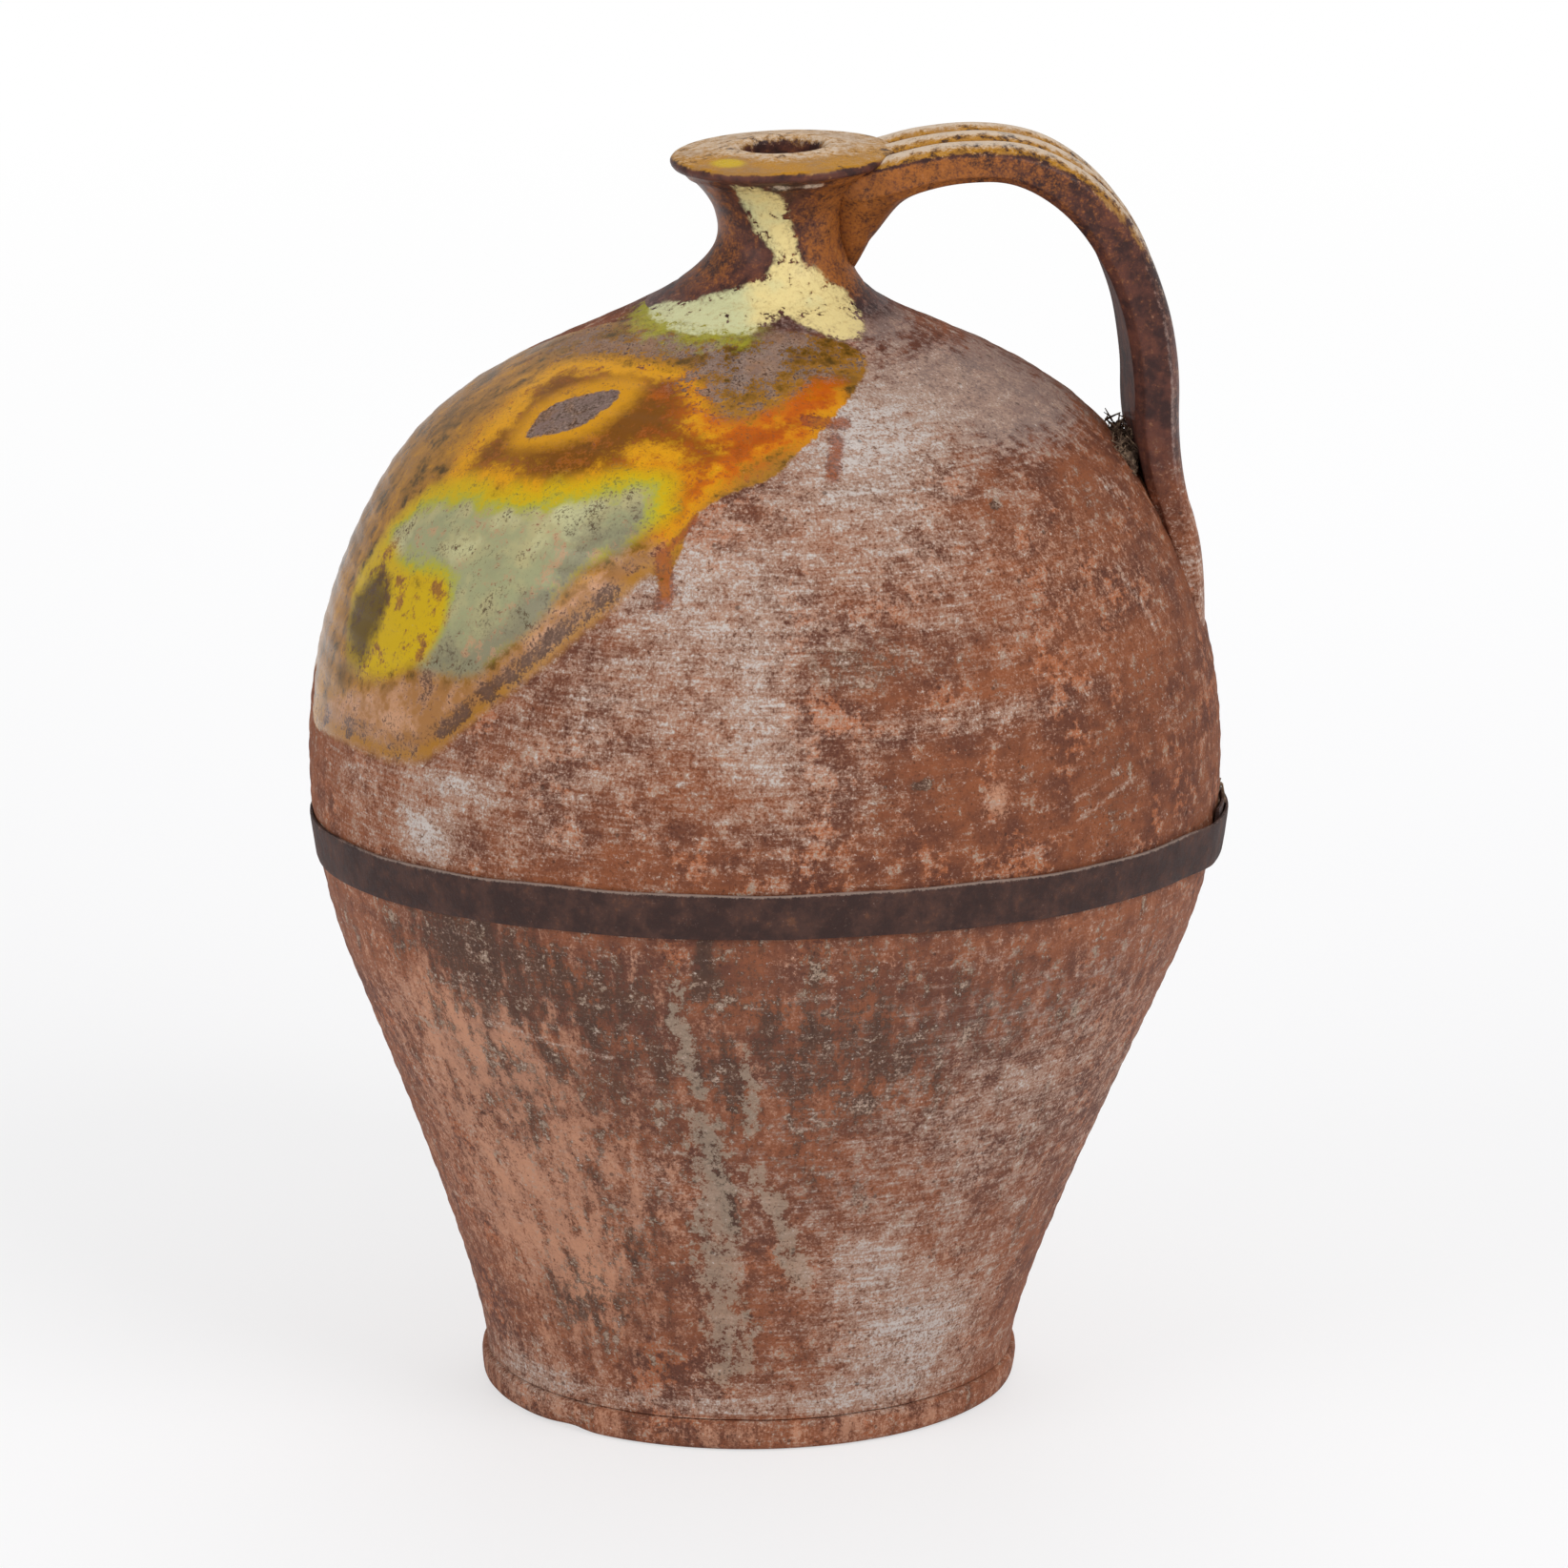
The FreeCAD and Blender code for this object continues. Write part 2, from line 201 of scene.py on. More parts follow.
def inside_distance(places: np.ndarray, outline: np.ndarray) -> np.ndarray:
    """Distance from places to a closed outline, positive inside it.

    Args:
        places: Rows of map places.
        outline: Closed outline as rows.

    Returns:
        One signed distance for each place.
    """
    x, y = places.T
    nearest = np.full(len(places), np.inf)
    inside = np.zeros(len(places), bool)
    for (ax, ay), (bx, by) in zip(outline, np.roll(outline, -1, 0)):
        dx, dy = bx - ax, by - ay
        t = np.clip(((x - ax) * dx + (y - ay) * dy) / (dx * dx + dy * dy + 1e-9), 0.0, 1.0)
        nearest = np.minimum(nearest, (x - ax - t * dx) ** 2 + (y - ay - t * dy) ** 2)
        if ay != by:
            inside ^= ((ay > y) != (by > y)) & (x < dx * (y - ay) / dy + ax)
    return np.where(inside, 1.0, -1.0) * np.sqrt(nearest)


def wander(places: np.ndarray, size: float, seed: float) -> np.ndarray:
    """Smooth seeded noise at places in millimetres.

    Args:
        places: Rows of three coordinates.
        size: Size of one swell.
        seed: Offset that picks the pattern.

    Returns:
        One value about -1 to 1 for each place.
    """
    spots = places / size + seed
    return np.array([noise.noise(Vector(spot)) for spot in spots])


@dataclass(frozen=True)
class JarShape:
    """Outline of the jar, by the same rules as its solids."""

    rim_height: float
    belly_radius: float
    root_radius: float
    mouth_radius: float
    foot_radius: float = 118.8
    wall: float = 10.0
    lower_turn: float = 22.9
    shoulder_turn: float = 31.8
    root_rise: float = 30.0

    @classmethod
    def from_frame(cls) -> "JarShape":
        """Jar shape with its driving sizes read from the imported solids."""
        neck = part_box("neck_and_rim")[1]
        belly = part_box("upper_body")[1]
        mouth = next(m for m in frame["record"]["mounts"] if m["name"] == "mouth")
        return cls(neck.z / MM, belly.y / MM, neck.y / MM, mouth["dims"]["r_mm"])

    @property
    def belly_height(self) -> float:
        """Height of the widest level."""
        return 0.5169 * self.rim_height

    @property
    def belly_curve(self) -> float:
        """Radius of the belly's arc in the outline."""
        return 0.4185 * self.rim_height

    @property
    def belly_lean(self) -> float:
        """Sideways place of the belly's centre."""
        return 0.0371 * self.belly_radius

    @property
    def neck_offset(self) -> float:
        """Sideways place of the neck's centre."""
        return 0.077 * self.belly_radius

    @property
    def rim_radius(self) -> float:
        """Outer radius of the rim."""
        return self.root_radius / 1.073

    @property
    def root_height(self) -> float:
        """Height where the neck leaves the shoulder."""
        return 0.8793 * self.rim_height

    @property
    def waist_radius(self) -> float:
        """Least outer radius of the neck."""
        return self.mouth_radius + self.wall

    @property
    def waist_height(self) -> float:
        """Height of the neck's least radius."""
        return self.root_height + 0.48 * (self.rim_height - self.root_height)

    @property
    def foot_height(self) -> float:
        """Height of the foot flange."""
        return 0.118 * self.foot_radius

    @property
    def hoop_height(self) -> float:
        """Mean height of the iron hoop."""
        return self.belly_height - 0.061 * self.rim_height

    @property
    def hoop_lift(self) -> float:
        """Rise of the hoop at the front and fall at the back."""
        return 0.0667 * self.belly_radius

    def lean(self, z: np.ndarray) -> np.ndarray:
        """Sideways place of the jar's centre at heights."""
        low = self.belly_lean * np.clip(np.asarray(z, float) / (0.817 * self.belly_height), 0.0, 1.0)
        start = self.root_height - 0.1 * (self.rim_height - self.root_height)
        return low + (self.neck_offset - self.belly_lean) * smooth(z, start, self.waist_height)

    def belly(self, degrees: np.ndarray) -> np.ndarray:
        """Radius and height on the belly's arc, counted up from its widest level."""
        a = np.radians(degrees)
        radius = self.belly_radius - self.belly_curve * (1.0 - np.cos(a))
        return np.stack([radius, self.belly_height + self.belly_curve * np.sin(a)], -1)

    @cached_property
    def wall_line(self) -> np.ndarray:
        """Radius and height rows up the outer wall, from the foot to the neck's root."""
        low, high = self.belly(np.array([-self.lower_turn, self.shoulder_turn]))
        low_way = np.radians(-self.lower_turn)
        high_way = np.radians(self.shoulder_turn)
        start = np.array([0.99 * self.foot_radius, self.foot_height])
        root = np.array([self.root_radius, self.root_height])
        rise = low[1] - start[1]
        low_pull = low + 0.518 * rise * np.array([np.sin(low_way), -np.cos(low_way)])
        reach = 0.37 * np.hypot(*(high - root))
        high_pull = high + reach * np.array([-np.sin(high_way), np.cos(high_way)])
        slope = np.radians(self.root_rise)
        root_pull = root + reach * np.array([np.cos(slope), -np.sin(slope)])
        foot_wall = bezier([start, start + (0.0, 0.136 * rise), low_pull, low], 160)
        belly_wall = self.belly(np.linspace(-self.lower_turn, self.shoulder_turn, 240))
        shoulder = bezier([high, high_pull, root_pull, root], 200)
        return np.vstack([foot_wall[:-1], belly_wall[:-1], shoulder])

    @cached_property
    def wall_run(self) -> np.ndarray:
        """Length down the outer wall from the neck's root, for each row of the wall line."""
        steps = np.hypot(*np.diff(self.wall_line, axis=0).T)
        return np.concatenate([np.cumsum(steps[::-1])[::-1], [0.0]])

    def radius(self, z: np.ndarray) -> np.ndarray:
        """Outer radius of the wall at heights."""
        return np.interp(z, self.wall_line[:, 1], self.wall_line[:, 0])

    def run(self, z: np.ndarray) -> np.ndarray:
        """Length down the outer wall from the neck's root at heights."""
        return np.interp(z, self.wall_line[:, 1], self.wall_run)

    def outward(self, z: np.ndarray) -> tuple[np.ndarray, np.ndarray]:
        """Radial and upward share of the wall's outward way at heights."""
        way = np.gradient(self.wall_line, axis=0)
        way /= np.hypot(*way.T)[:, None]
        heights = self.wall_line[:, 1]
        return np.interp(z, heights, way[:, 1]), np.interp(z, heights, -way[:, 0])

    def relief(self, turn: np.ndarray, z: np.ndarray) -> np.ndarray:
        """Hand-thrown swell and rings of the outer wall.

        Args:
            turn: Angle from the front in radians, towards the handle.
            z: Height.

        Returns:
            Offset along the wall's outward way.
        """
        swell = 0.55 * np.sin(2 * turn + z / 150 + 0.4) + 0.35 * np.sin(3 * turn - z / 80)
        spiral = 2 * np.pi * z / 11.0 + turn
        rings = 0.16 * np.sin(spiral + 0.7 * np.sin(z / 37)) + 0.1 * np.sin(2.63 * spiral + 1.3)
        fade = smooth(z, self.foot_height, 3 * self.foot_height)
        fade *= 1.0 - smooth(z, self.root_height - 25, self.root_height)
        return (0.5 + swell + rings) * fade


class Piece:
    """Turning bmesh work into named, dressed pieces that ride with the jar."""

    @staticmethod
    def line(outline: Points, closed: bool = False) -> tuple[bmesh.types.BMesh, list[bmesh.types.BMEdge]]:
        """Upright outline to turn.

        Args:
            outline: Radius and height pairs in order.
            closed: Whether the last pair joins the first.

        Returns:
            New bmesh and its edges in order.
        """
        bm = bmesh.new()
        corners = [bm.verts.new((r * MM, 0.0, z * MM)) for r, z in outline]
        ends = corners[1:] + corners[:1] if closed else corners[1:]
        return bm, [bm.edges.new(pair) for pair in zip(corners, ends)]

    @staticmethod
    def spin(bm: bmesh.types.BMesh, steps: int) -> None:
        """Turn an outline about the upright axis into a closed form with outward normals."""
        line = bm.verts[:] + bm.edges[:]
        turn = {"cent": (0, 0, 0), "axis": (0, 0, 1), "angle": math.tau}
        bmesh.ops.spin(bm, geom=line, steps=steps, use_merge=True, **turn)
        bmesh.ops.remove_doubles(bm, verts=bm.verts, dist=SPIN_WELD * MM)
        bmesh.ops.recalc_face_normals(bm, faces=bm.faces)

    @staticmethod
    def grid(columns: int, rows: int) -> tuple[bmesh.types.BMesh, np.ndarray]:
        """Flat grid, with two shares from -1 to 1 for each vertex."""
        bm = bmesh.new()
        bmesh.ops.create_grid(bm, x_segments=columns, y_segments=rows, size=1.0)
        return bm, np.array([vert.co[:2] for vert in bm.verts])

    @staticmethod
    def bend(bm: bmesh.types.BMesh, places: np.ndarray, fields: dict[Field, np.ndarray]) -> None:
        """Bend a grid into a closed strap.

        Args:
            bm: Grid to bend.
            places: New vertex places in millimetres.
            fields: Paint values by field.
        """
        for field, values in fields.items():
            layer = bm.verts.layers.float.new(field.value)
            for vert, value in zip(bm.verts, values):
                vert[layer] = value
        for vert, place in zip(bm.verts, places):
            vert.co = Vector(place) * MM
        bmesh.ops.remove_doubles(bm, verts=bm.verts, dist=STRAP_WELD * MM)
        bmesh.ops.holes_fill(bm, edges=[edge for edge in bm.edges if edge.is_boundary])
        bmesh.ops.recalc_face_normals(bm, faces=bm.faces)

    @staticmethod
    def mesh(bm: bmesh.types.BMesh, name: str) -> bpy.types.Mesh:
        """Mesh with smooth faces from a bmesh, which is freed."""
        mesh = bpy.data.meshes.new(name)
        bm.to_mesh(mesh)
        bm.free()
        mesh.shade_smooth()
        mesh.set_sharp_from_angle(angle=math.radians(SHARP_ANGLE))
        return mesh

    @staticmethod
    def places(mesh: bpy.types.Mesh) -> np.ndarray:
        """Vertex places in millimetres."""
        places = np.empty(3 * len(mesh.vertices), np.float32)
        mesh.vertices.foreach_get("co", places)
        return places.reshape(-1, 3).astype(float) / MM

    @staticmethod
    def move(mesh: bpy.types.Mesh, places: np.ndarray) -> None:
        """Set vertex places in millimetres."""
        mesh.vertices.foreach_set("co", (places * MM).astype(np.float32).ravel())
        mesh.update()

    @staticmethod
    def paint(mesh: bpy.types.Mesh, fields: dict[Field, np.ndarray]) -> None:
        """Store paint fields as point attributes."""
        for field, values in fields.items():
            layer = mesh.attributes.new(field.value, "FLOAT", "POINT")
            layer.data.foreach_set("value", np.asarray(values, np.float32))

    @staticmethod
    def show(mesh: bpy.types.Mesh, finish: bpy.types.Material, node: str = "", slot: str = "") -> None:
        """Link a mesh as a dressed piece of the jar.

        Args:
            mesh: Finished mesh, whose name the piece takes.
            finish: Its material.
            node: Solid that it stands for, if any.
            slot: Material slot of the record, if any; not used.
        """
        piece = bpy.data.objects.new(mesh.name, mesh)
        bpy.context.scene.collection.objects.link(piece)
        mesh.materials.append(finish)
        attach(piece, BODY)
        if node:
            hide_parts(node)
        LOG.info("%s: %d vertices", mesh.name, len(mesh.vertices))


class Pattern(NamedTuple):
    """Fractal noise of an effect: its scale, detail, roughness and stretch by axis."""

    scale: float = 1.0
    detail: float = 4.0
    rough: float = 0.6
    stretch: tuple[float, float, float] | None = None


class Graph:
    """Adds and wires shader nodes in one tree."""

    def __init__(self, tree: bpy.types.NodeTree) -> None:
        """Start on a node tree."""
        self.tree = tree

    def add(self, kind: str, inputs: dict[int | str, object], **settings: object) -> bpy.types.Node:
        """New shader node with its settings, its inputs fed by index or name."""
        node = self.tree.nodes.new("ShaderNode" + kind)
        for key, value in settings.items():
            setattr(node, key, value)
        for key, value in inputs.items():
            self.feed(node.inputs[key], value)
        return node

    def feed(self, socket: Socket, value: object) -> None:
        """Link an output to a socket, or set the socket's value."""
        if isinstance(value, Socket):
            self.tree.links.new(value, socket)
        else:
            socket.default_value = value.rgba if isinstance(value, Tone) else value

    def math(self, operation: str, a: object, b: object = 0.0, clamp: bool = False) -> Socket:
        """Output of a Math node."""
        return self.add("Math", {0: a, 1: b}, operation=operation, use_clamp=clamp).outputs[0]

    def times(self, a: object, b: object) -> Socket:
        """Product of two values."""
        return self.math("MULTIPLY", a, b)

    def rest(self, mask: object) -> Socket:
        """What a mask leaves free."""
        return self.math("SUBTRACT", 1.0, mask)

    def less(self, mask: object, other: object) -> Socket:
        """A mask where another one leaves it free."""
        return self.times(mask, self.rest(other))

    def total(self, *parts: tuple[object, float]) -> Socket:
        """Weighted sum of outputs, each given with its weight."""
        running: object = 0.0
        for value, weight in parts:
            running = self.add("Math", {0: value, 1: weight, 2: running}, operation="MULTIPLY_ADD").outputs[0]
        return running

    def mix(self, factor: object, under: object, over: object) -> Socket:
        """Colour over another by a factor."""
        return self.add("Mix", {0: factor, 6: under, 7: over}, data_type="RGBA").outputs[2]

    def step(self, value: object, low: object, high: object) -> Socket:
        """Soft step from 0 at low to 1 at high."""
        return self.add("MapRange", {0: value, 1: low, 2: high}, interpolation_type="SMOOTHSTEP").outputs[0]

    def noise(self, place: object, pattern: Pattern) -> Socket:
        """Fractal noise centred on zero."""
        if pattern.stretch:
            place = self.add("Mapping", {"Vector": place, "Scale": pattern.stretch}).outputs[0]
        sizes = {"Scale": pattern.scale, "Detail": pattern.detail, "Roughness": pattern.rough}
        node = self.add("TexNoise", {"Vector": place} | sizes)
        centred = self.math("SUBTRACT", node.outputs["Fac"], 0.5)
        return self.times(centred, NOISE_CONTRAST)

    def field(self, field: Field) -> Socket:
        """Paint field that the piece carries."""
        return self.add("Attribute", {}, attribute_name=field.value).outputs["Fac"]

    def group(self, effect: "NodeGroup", *fields: Field, **inputs: object) -> bpy.types.Node:
        """Place a shared effect, with paint fields and other inputs fed by name."""
        carried = {field.value.capitalize(): self.field(field) for field in fields}
        return self.add("Group", carried | inputs, node_tree=effect.tree)


class Mixer(Graph):
    """Graph of a shared effect, which tells its inputs and noises by name."""

    def __init__(self, tree: bpy.types.NodeTree, given: Sockets, patterns: dict[str, Pattern]) -> None:
        """Keep the inputs and make the noises."""
        super().__init__(tree)
        self.sources = {name.lower(): socket for name, socket in given.items()}
        self.sources |= {name: self.noise(given["Place"], pattern) for name, pattern in patterns.items()}

    def __getitem__(self, name: str) -> Socket:
        """Source of a name."""
        return self.sources[name]

    def keep(self, **sources: Socket) -> None:
        """Keep more outputs as sources."""
        self.sources |= sources

    def sideways(self) -> Socket:
        """Sideways coordinate of the place."""
        return self.add("SeparateXYZ", {0: self["place"]}).outputs[0]

    def sum(self, base: float = 0.0, **weights: float) -> Socket:
        """Weighted sum of named sources on top of a base value."""
        parts = [(self[name], weight) for name, weight in weights.items()]
        return self.total(*([(base, 1.0)] if base else []), *parts)

    def mask(self, low: float, high: float, **weights: float) -> Socket:
        """Soft step of a weighted sum of named sources."""
        return self.step(self.sum(**weights), low, high)

    def tint(self, under: object, tone: object, share: float, mask: object) -> Socket:
        """Tone over a colour by a share of a mask."""
        return self.mix(self.times(mask, share), under, tone)

    def lay(
        self, under: object, tone: object, share: float, low: float, high: float, **weights: float
    ) -> Socket:
        """Tone over a colour where a weighted sum of named sources steps up.

        Args:
            under: Colour below.
            tone: Colour laid over it.
            share: Most that the tone covers.
            low: Sum at which the tone starts.
            high: Sum at which it is full.
            weights: Weight of each source.

        Returns:
            The mixed colour.
        """
        return self.tint(under, tone, share, self.mask(low, high, **weights))


def floats(*names: str) -> dict[str, str]:
    """Number inputs of an effect."""
    return dict.fromkeys(names, "Float")


class NodeGroup:
    """Base of the shared effects: a shader group with named inputs, outputs and noises."""

    name = ""
    inputs: dict[str, str] = {}
    outputs: dict[str, str] = {"Color": "Color"} | floats("Roughness", "Height")
    patterns: dict[str, Pattern] = {}

    def __init__(self) -> None:
        """Build the group once, sockets first."""
        self.tree = bpy.data.node_groups.new(self.name, "ShaderNodeTree")
        for way, sockets in (("INPUT", self.inputs), ("OUTPUT", self.outputs)):
            for name, kind in sockets.items():
                self.tree.interface.new_socket(name=name, in_out=way, socket_type="NodeSocket" + kind)
        source = self.tree.nodes.new("NodeGroupInput")
        sink = self.tree.nodes.new("NodeGroupOutput")
        graph = Mixer(self.tree, {name: source.outputs[name] for name in self.inputs}, self.patterns)
        for name, value in self.wire(graph).items():
            graph.feed(sink.inputs[name], value)

    def wire(self, graph: Mixer) -> Sockets:
        """Wire the effect and return its outputs by name."""
        raise NotImplementedError


class RaggedEdge(NodeGroup):
    """Mask from a signed distance, with a flaked or bled edge."""

    name = "ragged_edge"
    inputs = {"Place": "Vector"} | floats("Distance", "Rag", "Soft")
    outputs = floats("Mask")
    patterns = {"fine": Pattern(260.0, 5.0, 0.68), "coarse": Pattern(62.0, 3.0, 0.55)}

    def wire(self, graph: Mixer) -> Sockets:
        """Shift the distance by two sizes of noise, then step it."""
        shift = graph.times(graph.sum(fine=2.2, coarse=2.0), graph["rag"])
        edge = graph.math("ADD", graph["distance"], shift)
        return {"Mask": graph.step(edge, graph.times(graph["soft"], -1.0), graph["soft"])}


class Spots(NodeGroup):
    """Scattered small spots."""

    name = "spots"
    inputs = {"Place": "Vector"} | floats("Scale", "Size", "Share")
    outputs = floats("Mask")

    def wire(self, graph: Mixer) -> Sockets:
        """Keep a share of the cells and draw a spot of uneven size in each."""
        cells = graph.add("TexVoronoi", {"Vector": graph["place"], "Scale": graph["scale"]})
        split = graph.add("SeparateColor", {0: cells.outputs["Color"]})
        kept = graph.math("LESS_THAN", split.outputs[0], graph["share"])
        size = graph.times(graph.total((split.outputs[1], 1.0), (0.3, 1.0)), graph["size"])
        spot = graph.rest(graph.step(cells.outputs["Distance"], graph.times(size, 0.55), size))
        return {"Mask": graph.times(spot, kept)}


class WeatheredClay(NodeGroup):
    """Bare fired clay with throwing lines, runs, lime bloom, stains and pits."""

    name = "weathered_clay"
    inputs = {"Place": "Vector"} | floats("Bloom", "Stain", "Salmon", "Mauve", "Drip", "Runs")
    patterns = {
        "broad": Pattern(9.0, 3.0),
        "patchy": Pattern(30.0, 5.0, 0.62),
        "blotch": Pattern(95.0, 5.0, 0.66),
        "fine": Pattern(270.0, 5.0, 0.75),
        "grain": Pattern(820.0, 4.0, 0.75),
        "lines": Pattern(1.0, 5.0, 0.7, (48.0, 48.0, 560.0)),
        "bands": Pattern(stretch=(5.0, 5.0, 70.0)),
        "upright": Pattern(1.0, 5.0, 0.68, (110.0, 110.0, 9.0)),
    }

    def __init__(self, spots: Spots) -> None:
        """Build with the shared spots."""
        self.spots = spots
        super().__init__()

    def wire(self, graph: Mixer) -> Sockets:
        """Layer the clay from broad mottling to fine specks."""
        place = graph["place"]
        lay = graph.lay
        graph.keep(runs=graph.times(graph["upright"], graph["runs"]))
        warm = graph.mask(-0.55, 0.45, patchy=1.3, blotch=1.0, bands=0.8, broad=0.8)
        color = graph.mix(warm, Tone.RED_BROWN, Tone.TERRACOTTA)
        color = lay(color, Tone.ORANGE_CLAY, 0.85, 0.05, 0.42, blotch=1.2, fine=1.0, patchy=-0.7, runs=1.0)
        dark = graph.mask(0.12, 0.85, blotch=0.9, fine=1.3, runs=1.7, lines=0.8, patchy=1.1, grain=0.8)
        color = graph.tint(color, Tone.DARK_CLAY, 0.7, dark)
        rubbed = graph.mask(0.25, 0.95, salmon=1.0, fine=1.2, grain=1.2, blotch=-0.9, runs=-1.8)
        color = graph.tint(color, Tone.SALMON, 0.85, rubbed)
        color = lay(color, Tone.PEACH, 0.7, 0.65, 1.3, salmon=1.0, fine=1.2, patchy=1.4, grain=0.8, runs=-1.2)
        rosy = graph.group(self.spots, Place=place, Scale=115.0, Size=0.24, Share=0.3).outputs[0]
        color = graph.tint(color, Tone.RED_BROWN, 0.5, rosy)
        color = lay(color, Tone.SLATE_MAUVE, 0.75, 0.2, 0.8, mauve=1.0, fine=1.3, lines=0.7, blotch=0.9)
        color = lay(color, Tone.STAIN, 0.85, 0.45, 0.9, stain=1.0, fine=1.6, blotch=1.1, runs=1.5, grain=0.9)
        color = lay(color, Tone.DRIP, 0.72, 0.42, 0.8, drip=1.0, fine=2.0, grain=1.2, blotch=2.0, runs=1.0)
        pink = graph.mask(0.05, 0.95, bloom=0.95, fine=0.9, blotch=0.9, lines=1.0, grain=1.5)
        color = graph.tint(color, Tone.PINK_BLOOM, 0.8, pink)
        white = graph.mask(0.64, 1.2, bloom=0.8, fine=1.0, lines=1.1, grain=1.9, blotch=0.6)
        color = graph.tint(color, Tone.BLOOM, 0.9, white)
        color = lay(color, Tone.BLOOM, 0.75, 0.27, 0.4, grain=1.0, fine=0.6)
        color = lay(color, Tone.DARK_CLAY, 0.72, 0.18, 0.45, grain=-1.3, fine=-0.8, runs=0.6)
        pits = graph.group(self.spots, Place=place, Scale=230.0, Size=0.26, Share=0.08).outputs[0]
        color = graph.tint(color, Tone.PIT, 0.55, pits)
        graph.keep(white=white, pits=pits)
        height = graph.sum(blotch=0.6, fine=0.8, grain=0.5, lines=0.7, pits=-0.8, white=0.15)
        return {"Color": color, "Roughness": graph.sum(0.76, white=0.12, fine=0.2), "Height": height}


class FiredSlip(NodeGroup):
    """Dark maroon slip with orange speckle, gold glaze and pale wear."""

    name = "fired_slip"
    inputs = {"Place": "Vector"} | floats("Orange", "Gold", "Wear", "Grey", "Dull")
    patterns = {
        "patchy": Pattern(60.0),
        "mottle": Pattern(210.0, 6.0, 0.7),
        "grain": Pattern(820.0, 4.0, 0.75),
    }

    def wire(self, graph: Mixer) -> Sockets:
        """Layer slip, speckle, glaze and wear."""
        color = graph.mix(graph.mask(-0.3, 0.25, patchy=1.0, mottle=0.7), Tone.DARK_MAROON, Tone.MAROON)
        color = graph.lay(color, Tone.ORANGE_SLIP, 0.9, 0.12, 0.85, orange=0.75, grain=1.0, mottle=0.9)
        color = graph.lay(color, Tone.PINK_BLOOM, 0.35, 0.35, 0.7, grain=1.2, mottle=0.5)
        worn = graph.mask(0.3, 0.9, grey=1.0, mottle=1.0, grain=0.7)
        color = graph.tint(color, Tone.WORN_GREY, 0.7, worn)
        gilt = graph.mask(0.25, 0.6, gold=1.0, mottle=0.9, patchy=0.6)
        glaze = graph.mix(graph.mask(-0.15, 0.3, patchy=1.0, mottle=0.5), Tone.GOLD, Tone.GOLD_OCHRE)
        glaze = graph.mix(graph.step(graph["gold"], 0.85, 1.2), glaze, Tone.BRIGHT_YELLOW)
        color = graph.mix(gilt, color, glaze)
        pale = graph.mask(0.35, 0.95, wear=1.0, mottle=1.0, grain=0.8)
        color = graph.tint(color, Tone.WORN_WHITE, 0.85, pale)
        color = graph.lay(color, Tone.MAROON, 0.25, 0.36, 0.6, mottle=1.0, grain=1.0)
        graph.keep(pale=pale, worn=worn, gilt=gilt)
        rough = graph.sum(0.34, pale=0.3, worn=0.2, mottle=0.25, gilt=-0.06, dull=0.6)
        height = graph.sum(mottle=0.5, grain=0.35, gilt=0.3, pale=-0.15)
        return {"Color": color, "Roughness": rough, "Height": height}


class CreamGlaze(NodeGroup):
    """Pale glaze ribbon over the neck, flaked at its edge."""

    name = "cream_glaze"
    inputs = {"Place": "Vector", "Under": "Color"} | floats("Distance", "Halo")
    outputs = {"Color": "Color"} | floats("Mask")
    patterns = {
        "flakes": Pattern(150.0, 6.0, 0.72),
        "crumbs": Pattern(480.0, 5.0, 0.72),
        "broad": Pattern(40.0, 3.0),
    }

    def __init__(self, edge: RaggedEdge) -> None:
        """Build with the shared edge."""
        self.edge = edge
        super().__init__()

    def wire(self, graph: Mixer) -> Sockets:
        """Lay cream where it is inside its edge, less the flakes lost from it."""
        distance = graph["distance"]
        inside = graph.group(self.edge, Place=graph["place"], Distance=distance, Rag=1.7, Soft=1.3).outputs[0]
        graph.keep(side=graph.sideways(), rim=graph.rest(graph.step(distance, 0.0, 7.0)))
        gone = graph.mask(0.21, 0.28, flakes=1.0, crumbs=0.5, rim=0.14)
        rubbed = graph.times(graph["rim"], graph.mask(-0.2, 0.3, crumbs=1.0, flakes=0.6))
        gone = graph.math("ADD", gone, graph.times(rubbed, 0.5), clamp=True)
        kept = graph.less(inside, gone)
        color = graph.mix(graph.mask(-0.3, 0.35, side=22.0, broad=1.2), Tone.CREAM_GREEN, Tone.CREAM)
        color = graph.lay(color, Tone.GOLD_OCHRE, 0.28, -0.05, 0.3, crumbs=1.0, flakes=0.8)
        fade = graph.mask(-13.0, -1.0, distance=1.0, flakes=26.0)
        left = graph.step(graph["side"], 0.012, -0.01)
        halo = graph.times(graph.times(fade, left), graph["halo"])
        under = graph.tint(graph["under"], Tone.LIME, 0.75, halo)
        return {"Color": graph.mix(kept, under, color), "Mask": kept}


